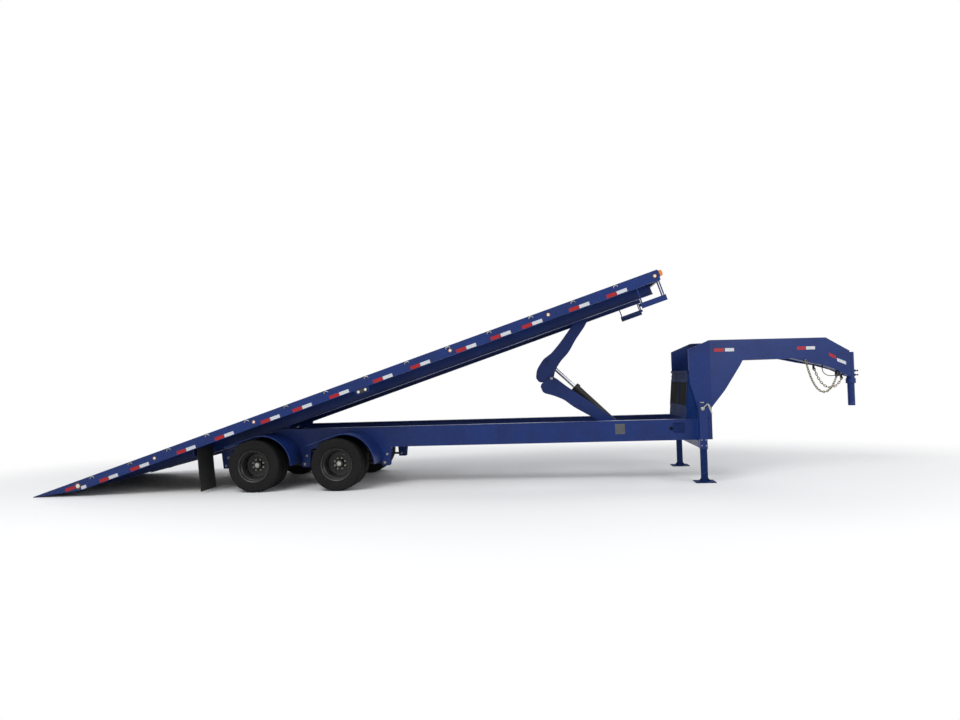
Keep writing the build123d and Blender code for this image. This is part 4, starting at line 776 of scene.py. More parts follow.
def fenderPath(x, radius):
    slope = math.radians(fender["slopeDeg"])
    turn = math.radians(90) + slope
    turns = [turn * step / fender["steps"] for step in range(fender["steps"] + 1)]
    arc = [(x + fender["shift"] + radius * math.cos(at), tyre["axleZ"] + radius * math.sin(at))
           for at in turns]
    lastX, lastZ = arc[-1]
    return arc + [(lastX - fender["tail"] * part * math.cos(slope),
                   lastZ - fender["tail"] * part * math.sin(slope)) for part in (0.5, 1.0)]


bm = bmesh.new()
for x in tyre["axleXs"].values():
    for turn in bothSides:
        outer, inner = fenderPath(x, fender["radius"]), fenderPath(x, fender["radius"] - fender["sheet"])
        addOutline(bm, outer + inner[::-1], -fender["outY"], -fender["inY"], turn)
        wirePath = [(px, -fender["outY"], pz) for px, pz in fenderPath(x, fender["radius"] - fender["wire"])]
        addTube(bm, wirePath, fender["wire"], 10, place=turn)
finishPiece("fenderSheets", bm, bluePaint, "frame", sharp=30, replaced=["fenders"])
print("fenders made")


# bed: boards between the side rails, held down with countersunk screws
bed = {"rearX": -3.438, "frontX": 6.314, "halfWidth": 1.2955, "deckZ": 1.161, "sideDepth": 0.150,
       "plank": 0.038, "tailPlate": 1.100, "planks": 10, "gap": 0.006, "flange": 0.050, "firstCross": -2.588,
       "crossPitch": 0.406, "knife": 0.760, "knifeTip": 0.008, "clear": 0.004, "ease": 0.003,
       "cup": (0.0006, 0.0022), "uneven": 0.002}


def addBoard(bm, x0, x1, y0, y1):
    # a board with eased long edges and a slight cup across its width
    z0, z1 = bed["deckZ"] - bed["plank"], bed["deckZ"]
    ease, width = bed["ease"], y1 - y0
    dip = random.uniform(*bed["cup"])
    section = [(y0, z0), (y0, z1 - ease), (y0 + ease, z1)]
    section += [(y0 + width * part, z1 - dip * math.sin(math.pi * part)) for part in (0.25, 0.5, 0.75)]
    section += [(y1 - ease, z1), (y1, z1 - ease), (y1, z0)]
    ends = [[bm.verts.new((x, y, z)) for y, z in section] for x in (x0, x1)]
    joinRings(bm, ends, backwards=True)
    bm.faces.new(ends[0])
    bm.faces.new(ends[1][::-1])


# two screws where a board crosses a beam, or one, at these shares of its width
screw = {"parts": (0.18, 0.82), "ahead": 0.019, "sunk": 0.0008, "endClear": 0.03,
         "profile": ((0.0, -0.0006), (0.0022, -0.0006), (0.0024, -0.0018), (0.0064, -0.0022),
                     (0.0066, 0.002))}
boards, screws = bmesh.new(), bmesh.new()
deckHalf = bed["halfWidth"] - bed["flange"] - bed["clear"]
boardWidth = (2 * deckHalf - bed["gap"] * (bed["planks"] - 1)) / bed["planks"]
boardX0 = bed["rearX"] + bed["tailPlate"] + bed["clear"]
boardX1 = bed["frontX"] - bed["flange"] - bed["clear"]
for index in range(bed["planks"]):
    y0 = -deckHalf + index * (boardWidth + bed["gap"])
    addBoard(boards, boardX0, boardX1 - random.uniform(0.0, bed["uneven"]), y0, y0 + boardWidth)
    crossX = bed["firstCross"] + bed["crossPitch"]
    while crossX < boardX1 - screw["endClear"]:
        for part in screw["parts"]:
            if (index + int(crossX * 10)) % 2 or part < 0.5:
                at = moved(crossX + screw["ahead"], y0 + boardWidth * part, bed["deckZ"] - screw["sunk"])
                addTurned(screws, screw["profile"], 10, at @ spun(-90, "X"))
        crossX += bed["crossPitch"]
finishPiece("deckBoards", boards, planks, "bed", replaced=["deck_planks"])
finishPiece("deckScrews", screws, zinc, "bed")

# raised lozenges, alternately turned, on the steel tail plate and on the front steps
lozenge = {"pitch": 0.052, "length": 0.032, "width": 0.010, "height": 0.0014, "topShare": 0.72,
           "flatShare": 0.4, "turnDeg": 45, "tailIn": 0.04, "frontIn": 0.02, "sideIn": 0.03}


def addLozenges(bm, x0, x1, y0, y1, z):
    pitch, share = lozenge["pitch"], lozenge["topShare"]
    long, short = lozenge["length"] / 2, lozenge["width"] / 2
    flat = long * lozenge["flatShare"]
    corners = ((long, 0), (flat, short), (-flat, short), (-long, 0), (-flat, -short), (flat, -short))
    columns, rows = int((x1 - x0) / pitch), int((y1 - y0) / pitch)
    for column in range(columns):
        for row in range(rows):
            x, y = x0 + (column + 0.5) * (x1 - x0) / columns, y0 + (row + 0.5) * (y1 - y0) / rows
            turn = math.radians(lozenge["turnDeg"] * (1 if (column + row) % 2 else -1))
            base = [(x + along * math.cos(turn) - across * math.sin(turn),
                     y + along * math.sin(turn) + across * math.cos(turn)) for along, across in corners]
            low = [bm.verts.new((px, py, z)) for px, py in base]
            high = [bm.verts.new((x + (px - x) * share, y + (py - y) * share, z + lozenge["height"]))
                    for px, py in base]
            bm.faces.new(high)
            joinRings(bm, [low, high], backwards=True)


step = {"edge": 0.008, "rearX": 5.940, "length": 0.370, "topZ": 0.797, "outY": 1.290, "depth": 0.190}
bm = bmesh.new()
tailEnd = bed["rearX"] + bed["tailPlate"] - lozenge["frontIn"]
sideEnd = bed["halfWidth"] - lozenge["sideIn"]
addLozenges(bm, bed["rearX"] + lozenge["tailIn"], tailEnd, -sideEnd, sideEnd, bed["deckZ"])
for side in (-1, 1):
    y0, y1 = sorted((side * (step["outY"] - step["edge"]),
                     side * (step["outY"] - step["depth"] + step["edge"])))
    addLozenges(bm, step["rearX"] + step["edge"], step["rearX"] + step["length"] - step["edge"], y0, y1,
                step["topZ"])
finishPiece("treadLozenges", bm, dullBlue, "bed")

# reflective tape along the bed's side rails, as distances behind the bed's front end
railTape = {"strip": 0.150, "gap": 0.002, "edge": 0.006, "low": 1.018, "high": 1.066, "proud": 0.0004,
            "tailRed": (-0.216, -0.050), "tailWhite": (0.033, 0.116),
            "joints": (9.023, 8.535, 8.026, 7.270, 6.657, 5.923, 5.417, 4.837, 4.160, 3.582, 2.880, 2.358,
                       1.885, 1.185, 0.632)}


def railBottom(x):
    # the side rail's lower edge rises to the tail's tip along its last stretch
    reach = x - bed["rearX"]
    if reach > bed["knife"]:
        return bed["deckZ"] - bed["sideDepth"]
    return bed["deckZ"] - bed["knifeTip"] - (bed["sideDepth"] - bed["knifeTip"]) * reach / bed["knife"]


red, white = bmesh.new(), bmesh.new()
for joint in railTape["joints"]:
    x = bed["frontX"] - joint
    strip, gap = railTape["strip"], railTape["gap"]
    spans = [(red, (-strip, -gap)), (white, (gap, strip))]
    if joint == railTape["joints"][0]:
        # the pair nearest the tail stands apart, with a longer red strip and a shorter white one
        spans = [(red, railTape["tailRed"]), (white, railTape["tailWhite"])]
    for bm, ends in spans:
        x0, x1 = x + ends[0], x + ends[1]
        lift = max(0.0, railBottom(x0) + railTape["edge"] - railTape["low"])
        low, high = railTape["low"] + lift, min(railTape["high"] + lift, bed["deckZ"] - railTape["edge"])
        for turn in bothSides:
            addBox(bm, (x0, -bed["halfWidth"] - railTape["proud"], low), (x1, -bed["halfWidth"], high), turn)
finishPiece("railTapeRed", red, redTape, "bed")
finishPiece("railTapeWhite", white, whiteTape, "bed")

# small rope hooks welded along the top of both side rails
hook = {"first": 0.620, "pitch": 0.6275, "count": 14, "bar": 0.0055, "half": 0.030, "footDown": 0.042,
        "crown": 0.022, "footIn": 0.002, "neckOut": 0.0065, "neckUp": 0.004, "bendOut": 0.0075,
        "bendUp": 0.006, "steps": 8}
bm = bmesh.new()
y, foot, half = -bed["halfWidth"], bed["deckZ"] - hook["footDown"], hook["half"]
for index in range(hook["count"]):
    x = bed["frontX"] - hook["first"] - index * hook["pitch"]
    ends = [[(x + side * half, y + hook["footIn"], foot),
             (x + side * half, y - hook["neckOut"], foot + hook["neckUp"])] for side in (-1, 1)]
    bends = [bend * math.pi / hook["steps"] for bend in range(hook["steps"] + 1)]
    line = ends[0] + [(x - half * math.cos(bend), y - hook["bendOut"],
                       foot + hook["bendUp"] + hook["crown"] * math.sin(bend)) for bend in bends]
    line += ends[1][::-1]
    for turn in bothSides:
        addTube(bm, line, hook["bar"], 8, place=turn)
finishPiece("ropeHooks", bm, zinc, "bed")

# round side lamps: a pale lens in a wide rubber grommet, with its amber or red reflector behind it
sideLamp = {"z": 1.086, "xs": (6.254, 4.684, 3.204, 0.144, -1.456, -2.716), "redFrom": 3, "tailGrowth": 1.6,
            "grommet": ((0.0235, 0.020), (0.0315, 0.020), (0.0315, 0.0), (0.0330, -0.0008),
                        (0.0322, -0.0024), (0.0290, -0.0028), (0.0240, -0.0014)),
            "reflector": ((0.0185, 0.012), (0.0238, 0.012), (0.0238, -0.0012), (0.0228, -0.0022),
                          (0.0192, -0.0026), (0.0185, -0.0020)),
            "lens": ((0.0, 0.010), (0.0184, 0.010), (0.0184, -0.0016), (0.0170, -0.0024), (0.0112, -0.0025),
                     (0.0108, -0.0020), (0.0, -0.0025))}
amber, rubber, redBm, pale = [bmesh.new() for _ in range(4)]
for index, x in enumerate(sideLamp["xs"]):
    at = moved(x, -bed["halfWidth"], sideLamp["z"])
    if x == sideLamp["xs"][-1]:
        # the lamp nearest the tail is the larger kind
        at = at @ Matrix.Diagonal((sideLamp["tailGrowth"], 1.0, sideLamp["tailGrowth"], 1.0))
    tint = amber if index < sideLamp["redFrom"] else redBm
    for turn in bothSides:
        for bm, profile, sides, closed in ((rubber, "grommet", 40, True), (tint, "reflector", 36, True),
                                           (pale, "lens", 36, False)):
            addTurned(bm, sideLamp[profile], sides, turn @ at, closed)
finishPiece("sideLampLenses", pale, clearLens, "bed", replaced=["side_lamps"])
finishPiece("sideLampAmber", amber, amberLens, "bed")
finishPiece("sideLampRed", redBm, redLens, "bed")
finishPiece("lampGrommets", rubber, blackPlastic, "bed")


def ovalRing(length, height, steps=14):
    # an oval as (along, up) points: two half circles joined by straight sides
    radius, reach = height / 2, (length - height) / 2
    turns = [(side, math.radians(180 * index / steps - 90 * side)) for side in (1, -1)
             for index in range(steps + 1)]
    return [(side * reach + radius * math.cos(turn), radius * math.sin(turn)) for side, turn in turns]


def addOval(bm, length, height, levels, place):
    # an oval body whose outline shrinks by each level's inset as it stands out along -Y
    rings = []
    for inset, along in levels:
        outline = ovalRing(length - 2 * inset, height - 2 * inset)
        rings.append([bm.verts.new((x, along, z)) for x, z in outline])
    joinRings(bm, rings)
    bm.faces.new(rings[0])
    bm.faces.new(rings[-1][::-1])
    settle(bm, rings, place)


# turn lamps: a rubber pad with a pale lens at each end, on the plate under the side rail
turnLamp = {"x": 1.809, "z": 0.975, "padY": 1.2895, "length": 0.165, "height": 0.058, "lensApart": 0.0535,
            "levels": ((0.0, 0.0), (0.0, -0.010), (0.002, -0.0135), (0.006, -0.014)),
            "ring": ((0.0195, 0.0), (0.0235, 0.0), (0.0235, -0.004), (0.0215, -0.006), (0.0195, -0.005)),
            "lens": ((0.0, 0.0), (0.0194, 0.0), (0.0194, -0.0050), (0.016, -0.0070), (0.008, -0.0080),
                     (0.0, -0.0083))}
pads, lenses = bmesh.new(), bmesh.new()
for turn in bothSides:
    at = turn @ moved(turnLamp["x"], -turnLamp["padY"], turnLamp["z"])
    addOval(pads, turnLamp["length"], turnLamp["height"], turnLamp["levels"], at)
    for end in (-1, 1):
        face = -turnLamp["padY"] + turnLamp["levels"][2][1]
        at = turn @ moved(turnLamp["x"] + end * turnLamp["lensApart"], face, turnLamp["z"])
        addTurned(pads, turnLamp["ring"], 32, at, closed=True)
        addTurned(lenses, turnLamp["lens"], 32, at)
finishPiece("turnLampPads", pads, blackPlastic, "bed", replaced=["turn_lamps"])
finishPiece("turnLampLenses", lenses, clearLens, "bed")

# corner lamps ahead of the header
cornerLamp = {"length": 0.058, "inY": 1.2535, "outY": 1.2935, "lowZ": 1.055, "highZ": 1.147, "cut": 0.0184,
              "base": 0.012, "inset": 0.003}
lenses, bases = bmesh.new(), bmesh.new()
x0, x1 = bed["frontX"], bed["frontX"] + cornerLamp["length"]
z0, z1, cut = cornerLamp["lowZ"], cornerLamp["highZ"], cornerLamp["cut"]
outY, inY, inset = -cornerLamp["outY"], -cornerLamp["inY"], cornerLamp["inset"]
back = x0 + cornerLamp["base"]
lens = [(back, z0 + inset), (x1 - cut, z0 + inset), (x1 - 0.001, z0 + cut), (x1 - 0.001, z1 - cut),
        (x1 - cut, z1 - inset), (back, z1 - inset)]
for turn in bothSides:
    addBox(bases, (x0, outY, z0), (back, inY, z1), turn)
    addOutline(lenses, lens, outY + 0.002, inY - 0.002, turn)
    for z in (z0 + 0.010, z1 - 0.010):
        addBolt(bases, turn @ moved(x0 + cornerLamp["base"] / 2, outY, z), 0.007, 0.0015)
finishPiece("cornerLampLenses", lenses, amberLens, "bed", bevel=0.003,
            replaced=["corner_lamps"])
finishPiece("cornerLampBases", bases, blackPlastic, "bed", bevel=0.0006)

# tail lamps on their leaning bar
tailLamp = {"y": 1.010, "topX": -0.844, "leg": 0.046, "bar": 0.008, "barZ": 0.915, "topZ": 1.011,
            "lean": 0.024, "pad": (0.165, 0.058), "lens": (0.153, 0.046),
            "padLevels": ((0.0, 0.0), (0.0, -0.008), (0.002, -0.012), (0.005, -0.0125)),
            "lensLevels": ((0.0, -0.004), (0.0, -0.016), (0.002, -0.019), (0.006, -0.0205))}
lenses, grommets = bmesh.new(), bmesh.new()
lean = math.atan2(tailLamp["lean"], tailLamp["topZ"] - tailLamp["barZ"])
x = tailLamp["topX"] - tailLamp["leg"] - tailLamp["bar"] / math.cos(lean) - tailLamp["lean"] / 2
for turn in bothSides:
    at = turn @ moved(x, -tailLamp["y"], (tailLamp["barZ"] + tailLamp["topZ"]) / 2)
    at = at @ Matrix.Rotation(lean, 4, "Y") @ spun(-90, "Z")
    addOval(grommets, *tailLamp["pad"], tailLamp["padLevels"], at)
    addOval(lenses, *tailLamp["lens"], tailLamp["lensLevels"], at)
finishPiece("tailLampLenses", lenses, redLens, "bed", replaced=["tail_lamps"])
finishPiece("tailLampGrommets", grommets, blackPlastic, "bed")

# mud flaps: ribbed rubber that hangs a little bowed from a bolted strip
flap = {"topX": -0.844, "topZ": 1.011, "lowX": -0.996, "lowZ": 0.388, "thick": 0.010, "inY": 0.708,
        "outY": 1.208, "rows": 14, "bow": 0.004, "ribs": 16, "ribFrom": 0.1, "ribTo": 0.97, "ribHalf": 0.005,
        "edge": 0.01, "bolts": 5, "boltIn": 0.06, "boltPitch": 0.095, "boltDown": 0.043,
        "bolt": (0.016, 0.009), "strip": ((0.012, -0.001), (0.075, -0.001), (0.075, 0.003), (0.012, 0.003))}
bm, strips = bmesh.new(), bmesh.new()


def flapPoint(part, offset):
    # a point down the flap's middle line and out along its face
    x = flap["topX"] + (flap["lowX"] - flap["topX"]) * part - flap["bow"] * math.sin(math.pi * part)
    return x + offset, flap["topZ"] + (flap["lowZ"] - flap["topZ"]) * part


for turn in bothSides:
    parts = [row / flap["rows"] for row in range(flap["rows"] + 1)]
    sheet = [flapPoint(part, 0.003) for part in parts]
    sheet += [flapPoint(part, flap["thick"] - 0.001) for part in parts[::-1]]
    addOutline(bm, sheet, -flap["outY"], -flap["inY"], turn)
    edge = flap["edge"]
    pitch = (flap["outY"] - flap["inY"] - 2 * edge) / flap["ribs"]
    ribParts = [part for part in parts if flap["ribFrom"] < part < flap["ribTo"]]
    for rib in range(flap["ribs"]):
        y = -flap["outY"] + edge + (rib + 0.5) * pitch
        face = [flapPoint(part, 0.0008) for part in ribParts]
        face += [flapPoint(part, 0.004) for part in ribParts[::-1]]
        addOutline(bm, face, y - flap["ribHalf"], y + flap["ribHalf"], turn)
    strip = [flapPoint(*corner) for corner in flap["strip"]]
    addOutline(strips, strip, -flap["outY"] + edge, -flap["inY"] - edge, turn)
    for bolt in range(flap["bolts"]):
        y = -flap["outY"] + flap["boltIn"] + bolt * flap["boltPitch"]
        px, pz = flapPoint(flap["boltDown"], -0.001)
        addBolt(strips, turn @ moved(px, y, pz) @ spun(-90, "Z"), *flap["bolt"])
finishPiece("mudFlapSheets", bm, flapRubber, "bed", bevel=0.001, replaced=["mud_flaps"])
finishPiece("mudFlapStrips", strips, zinc, "bed")
print("bed dressed")


# hoist: two arms that scissor, with one cylinder between them
hoist = {"base": (5.390, 0.785), "elbow": (4.408, 1.535), "head": (4.970, 2.520), "rodEye": (4.370, 1.790),
         "pinR": 0.025, "lowerY": (0.178, 0.198), "upperY": (0.148, 0.168), "tubeR": 0.034, "bossR": 0.048,
         "barrelR": 0.060, "barrelLength": 0.874, "rodR": 0.030, "eyeR": 0.055, "eyeHalf": 0.035,
         "upperSpreader": (792, 64), "lowerSpreader": (618, 63), "shaftHalf": 0.690, "bayHalf": 0.260,
         # collars on the shafts, as the stretch they take and how far they stand up
         "baseCollars": (((0.690, 0.630), 0.022), ((0.210, 0.222), 0.012)),
         "headCollar": ((0.260, 0.220), 0.020)}
upperOutline = [(-17, -41), (139, 8), (305, -1), (487, -47), (707, -48), (984, -80), (1175, -52), (1124, 69),
                (905, 99), (557, 143), (349, 185), (206, 254), (15, 266), (-112, 216), (-147, 127)]
lowerOutline = [(1245, -49), (972, -38), (556, -53), (-18, -58), (-38, 34), (23, 68), (409, 124), (696, 160),
                (888, 156), (1046, 195), (1212, 259), (1323, 187)]


def alongArm(low, high, points):
    # outline points in millimetres along and across the line between an arm's pins
    length = math.dist(low, high)
    ux, uz = (high[0] - low[0]) / length, (high[1] - low[1]) / length
    return [(low[0] + (along * ux - across * uz) / 1000, low[1] + (along * uz + across * ux) / 1000)
            for along, across in points]


def rounded(points, share=0.3, steps=4):
    # every corner of an outline eased with a short curve
    result = []
    for index, here in enumerate(points):
        before, after = points[index - 1], points[(index + 1) % len(points)]
        start = [here[axis] + (before[axis] - here[axis]) * share for axis in (0, 1)]
        finish = [here[axis] + (after[axis] - here[axis]) * share for axis in (0, 1)]
        for stepIndex in range(steps + 1):
            part = stepIndex / steps
            result.append(tuple(start[axis] * (1 - part) ** 2 + 2 * here[axis] * part * (1 - part)
                                + finish[axis] * part ** 2 for axis in (0, 1)))
    return result


def pinPlace(spot):
    return moved(spot[0], 0, spot[1])


def addPin(bm, spot, radius, y0, y1, sides=32, ease=0.002):
    addTurned(bm, [(radius - ease, y0), (radius, y0 + ease), (radius, y1 - ease), (radius - ease, y1)],
              sides, pinPlace(spot))


def addSleeve(bm, spot, inner, outer, y0, y1, sides=32):
    addTurned(bm, [(inner, y0), (outer, y0), (outer, y1), (inner, y1)], sides, pinPlace(spot), closed=True)


def bothSpans(y0, y1):
    # the same stretch across the trailer on either side of its middle
    return [sorted((side * y0, side * y1)) for side in (-1, 1)]


def addPlates(bm, low, high, points, yRange):
    # a pair of cut plates between two pins of the hoist
    for turn in bothSides:
        addOutline(bm, rounded(alongArm(hoist[low], hoist[high], points)), -yRange[1], -yRange[0], turn)


bm = bmesh.new()
y0, y1 = hoist["upperY"]
bore, tube = hoist["pinR"] + 0.0005, hoist["tubeR"]
addPlates(bm, "elbow", "head", upperOutline, hoist["upperY"])
for low, high in bothSpans(y0 - 0.030, y1 + 0.004):
    addSleeve(bm, hoist["head"], bore, hoist["bossR"], low, high, 40)
for low, high in bothSpans(hoist["eyeHalf"] + 0.005, y0):
    addPin(bm, hoist["rodEye"], hoist["pinR"], low, high)
for low, high in bothSpans(y1 - 0.002, y1 + 0.006):
    addPin(bm, hoist["rodEye"], 0.040, low, high)
spreader = alongArm(hoist["elbow"], hoist["head"], [hoist["upperSpreader"]])[0]
for spot in (hoist["elbow"], spreader):
    addPin(bm, spot, tube, -y1 - 0.004, y1 + 0.004, 40)
finishPiece("upperArm", bm, bluePaint, "upper_arm", bevel=0.0012, sharp=32,
            replaced=["hoist_upper_arm"])

bm = bmesh.new()
y0, y1 = hoist["lowerY"]
addPlates(bm, "base", "elbow", lowerOutline, hoist["lowerY"])
for low, high in bothSpans(y0 - 0.004, y1 + 0.008):
    addSleeve(bm, hoist["base"], bore, 0.046, low, high, 40)
for low, high in bothSpans(y1 - 0.002, y1 + 0.006):
    addPin(bm, hoist["elbow"], 0.044, low, high, 40)
spreader = alongArm(hoist["base"], hoist["elbow"], [hoist["lowerSpreader"]])[0]
addPin(bm, spreader, tube, -y1 - 0.004, y1 + 0.004, 40)
finishPiece("lowerArm", bm, bluePaint, "lower_arm", bevel=0.0012, sharp=32,
            replaced=["hoist_lower_arm"])

# pin ends with grease nipples at the rod's eye and the elbow
for name, spot, y, body, material, slot in (
        ("rodEyePin", "rodEye", hoist["upperY"][1] + 0.006, "upper_arm", bluePaint, "blue_paint"),
        ("elbowPin", "elbow", hoist["lowerY"][1] + 0.006, "lower_arm", bareSteel, "bare_steel")):
    bm = bmesh.new()
    for turn in bothSides:
        at = turn @ pinPlace(hoist[spot])
        addTurned(bm, [(0.019, -y), (0.021, -y - 0.002), (0.021, -y - 0.006), (0.017, -y - 0.008)], 28, at)
        addTurned(bm, [(0.0045, -y - 0.008), (0.0045, -y - 0.012), (0.003, -y - 0.014), (0.003, -y - 0.018)],
                  8, at)
    finishPiece(name, bm, material, body)


place, reach = alongLine(*[(x, 0, z) for x, z in (hoist["base"], hoist["rodEye"])])
wide, end, rodR = hoist["barrelR"], hoist["barrelLength"], hoist["rodR"]
bm = bmesh.new()
addTurned(bm, [(0.0, 0.036), (0.052, 0.040), (wide, 0.052), (wide, end - 0.062), (wide + 0.006, end - 0.062),
               (wide + 0.014, end - 0.060), (wide + 0.0155, end - 0.056), (wide + 0.0155, end - 0.030),
               (wide + 0.012, end - 0.027), (wide + 0.012, end - 0.008), (wide + 0.006, end - 0.001),
               (rodR + 0.010, end - 0.001), (rodR + 0.0035, end - 0.006), (rodR + 0.0012, end - 0.030),
               (0.0, end - 0.034)], 56, place)
for along in (0.095, end - 0.10):
    port = place @ moved(0, along, 0) @ spun(90, "X")
    addTurned(bm, [(0.017, -wide + 0.006), (0.017, -wide - 0.006), (0.015, -wide - 0.008)], 20, port)
eyeHalf = hoist["eyeHalf"]
addSleeve(bm, hoist["base"], bore, hoist["eyeR"], -eyeHalf, eyeHalf, 48)
finishPiece("cylinderBarrel", bm, blackPaint, "barrel", sharp=30,
            replaced=["cylinder_barrel"])
bm = bmesh.new()
addTurned(bm, [(0.0, 0.520), (rodR - 0.002, 0.520), (rodR, 0.523), (rodR, reach - 0.050),
               (rodR + 0.008, reach - 0.045), (rodR + 0.010, reach - 0.030), (0.0, reach - 0.030)],
          48, place)
addSleeve(bm, hoist["rodEye"], hoist["pinR"] + 0.003, hoist["eyeR"], -eyeHalf, eyeHalf, 48)
finishPiece("cylinderRod", bm, chrome, "rod", sharp=30, replaced=["cylinder_rod"])


def flatPoint(x, z):
    # where a point of the tilted bed lies when the bed is flat
    tilt = math.radians(layout["tiltDeg"])
    u, h = x - layout["pivotX"], z - layout["pivotZ"]
    return (layout["pivotX"] + u * math.cos(tilt) + h * math.sin(tilt),
            layout["pivotZ"] - u * math.sin(tilt) + h * math.cos(tilt))


pinR, shaftHalf, bayHalf = hoist["pinR"], hoist["shaftHalf"], hoist["bayHalf"]
bm = bmesh.new()
addPin(bm, hoist["base"], pinR, -shaftHalf, shaftHalf, 40)
for stretch, up in hoist["baseCollars"]:
    for low, high in bothSpans(*stretch):
        addSleeve(bm, hoist["base"], pinR, pinR + up, low, high, 40)
finishPiece("hoistBaseShaft", bm, bareSteel, "frame", sharp=30, replaced=["hoist_base"])
bm = bmesh.new()
headSpot, (stretch, up) = flatPoint(*hoist["head"]), hoist["headCollar"]
addPin(bm, headSpot, pinR, -bayHalf, bayHalf, 40)
for low, high in bothSpans(*stretch):
    addSleeve(bm, headSpot, pinR, pinR + up, low, high, 40)
finishPiece("hoistHeadShaft", bm, bareSteel, "bed", sharp=30, replaced=["hoist_head_mount"])
bm = bmesh.new()
addPin(bm, (layout["pivotX"], layout["pivotZ"]), layout["pivotR"], -shaftHalf, shaftHalf, 48)
finishPiece("bedPivotShaft", bm, bareSteel, "frame", sharp=30, replaced=["pivot_shaft"])
print("hoist made")


# neck: tape on its webs, the coupler, the safety chains and the lead
neck = {"top": 2.029, "depth": 0.302, "riserX": 6.712, "endX": 8.912, "rootY": 0.700, "endY": 0.095,
        "flange": 0.014, "under": ((0.912, 0.302), (0.648, 0.370), (0.429, 0.415), (0.212, 0.490),
                                   (0.0, 0.599))}
neckLean = math.atan2(neck["rootY"] - neck["endY"], neck["endX"] - neck["riserX"])


def neckY(x):
    # how far out the neck's web stands, which narrows from the riser to the nose
    narrowing = (x - neck["riserX"]) * (neck["rootY"] - neck["endY"])
    return neck["rootY"] - narrowing / (neck["endX"] - neck["riserX"])


def neckUnderside(x, y):
    along = x + (neckY(x) - abs(y)) * math.cos(neckLean) * math.sin(neckLean)
    edge = [(neck["endX"] - back, neck["top"] - drop) for back, drop in neck["under"]]
    for (x0, z0), (x1, z1) in zip(edge, edge[1:]):
        if x0 <= along <= x1:
            return z0 + (z1 - z0) * (along - x0) / (x1 - x0)
    return neck["top"] - neck["depth"]


def addNeckTape(bm, start, finish, side):
    # a strip of tape on the neck web's outer face between two (x, z) points
    (x0, z0), (x1, z1), half = start, finish, neckTape["height"] / 2
    corners = [(x0, z0 - half), (x1, z1 - half), (x1, z1 + half), (x0, z0 + half)]
    faces = [[bm.verts.new((x, side * (neckY(x) + proud), z)) for x, z in corners]
             for proud in (0.0, neckTape["proud"])]
    bm.faces.new(faces[0])
    bm.faces.new(faces[1][::-1])
    joinRings(bm, faces, backwards=True)


neckTape = {"height": 0.048, "proud": 0.0005,
            "red": (((6.782, 1.880), (6.935, 1.880)), ((8.079, 1.876), (8.221, 1.876)),
                    ((8.590, 1.776), (8.701, 1.720))),
            "white": (((6.951, 1.880), (7.089, 1.880)), ((8.224, 1.876), (8.367, 1.876)),
                      ((8.716, 1.689), (8.861, 1.632)))}
red, white = bmesh.new(), bmesh.new()
for side in (-1, 1):
    for bm, strips in ((red, neckTape["red"]), (white, neckTape["white"])):
        for start, finish in strips:
            addNeckTape(bm, start, finish, side)
finishPiece("neckTapeRed", red, redTape, "frame")
finishPiece("neckTapeWhite", white, whiteTape, "frame")

coupler = {"x": 8.962, "outerR": 0.057, "innerR": 0.051, "top": 1.800, "collar": (1.322, 1.400),
           "bottom": 0.985, "ballR": 0.030, "ballDepth": 0.060, "bolts": (1.448, 1.512), "boltReach": 0.056}
upright = moved(coupler["x"], 0, 0) @ spun(90, "X")
low, high = coupler["collar"]
outer, inner, top, bottom = coupler["outerR"], coupler["innerR"], coupler["top"], coupler["bottom"]
bore, roof = inner + 0.0006, top - 0.012
bm, bolts = bmesh.new(), bmesh.new()
addTurned(bm, [(bore, low + 0.001), (outer + 0.011, low), (outer + 0.014, low + 0.003),
               (outer + 0.014, high - 0.008), (outer + 0.004, high + 0.004), (outer, high + 0.008),
               (outer, top - 0.004), (outer - 0.004, top), (0.0, top), (0.0, roof), (bore, roof)],
          64, upright, closed=True)
for z in coupler["bolts"]:
    # a boss on the collar, the set bolt with its lock nut and its head
    forward = moved(coupler["x"], 0, z) @ spun(90, "Z")
    head = outer + coupler["boltReach"]
    addTurned(bm, [(0.019, -outer + 0.004), (0.019, -outer - 0.010), (0.017, -outer - 0.012)], 24, forward)
    addTurned(bolts, [(0.0080, -outer), (0.0080, -outer - coupler["boltReach"] + 0.014)], 20, forward)
    addTurned(bolts, [(0.0125, -outer - 0.013), (0.0138, -outer - 0.015), (0.0138, -outer - 0.022),
                      (0.0125, -outer - 0.024)], 6, forward)
    addTurned(bolts, [(0.0115, -head + 0.014), (0.0127, -head + 0.012), (0.0127, -head + 0.002),
                      (0.0105, -head)], 6, forward)
finishPiece("couplerOuter", bm, bluePaint, "frame", sharp=30, replaced=["coupler_outer"])
finishPiece("couplerBolts", bolts, blackPaint, "frame")
bm = bmesh.new()
socket, crown = coupler["ballR"], bottom + coupler["ballDepth"]
addTurned(bm, [(0.0, top - 0.080), (inner, top - 0.080), (inner, bottom + 0.055),
               (inner - 0.001, bottom + 0.052), (inner, bottom + 0.049), (inner, bottom + 0.004),
               (inner - 0.004, bottom), (socket + 0.006, bottom), (socket, bottom + 0.006),
               (socket, crown - 0.022), (socket * 0.8, crown - 0.008), (socket * 0.4, crown - 0.001),
               (0.0, crown)], 64, upright)
finishPiece("couplerInner", bm, bluePaint, "frame", sharp=30, replaced=["coupler_inner"])

chain = {"eyeR": 0.0095, "eyeT": 0.003, "wire": 0.0112, "inside": 0.038, "insideWidth": 0.015,
         "play": 0.0006, "pinR": 0.0065, "pinLength": 0.030, "tab": 0.012, "tabHalf": 0.016,
         "spans": (((8.200, -0.312, 1.690), (8.735, -0.064, 1.452), 27),
                   ((8.477, 0.126, 1.560), (8.850, 0.040, 1.412), 17))}


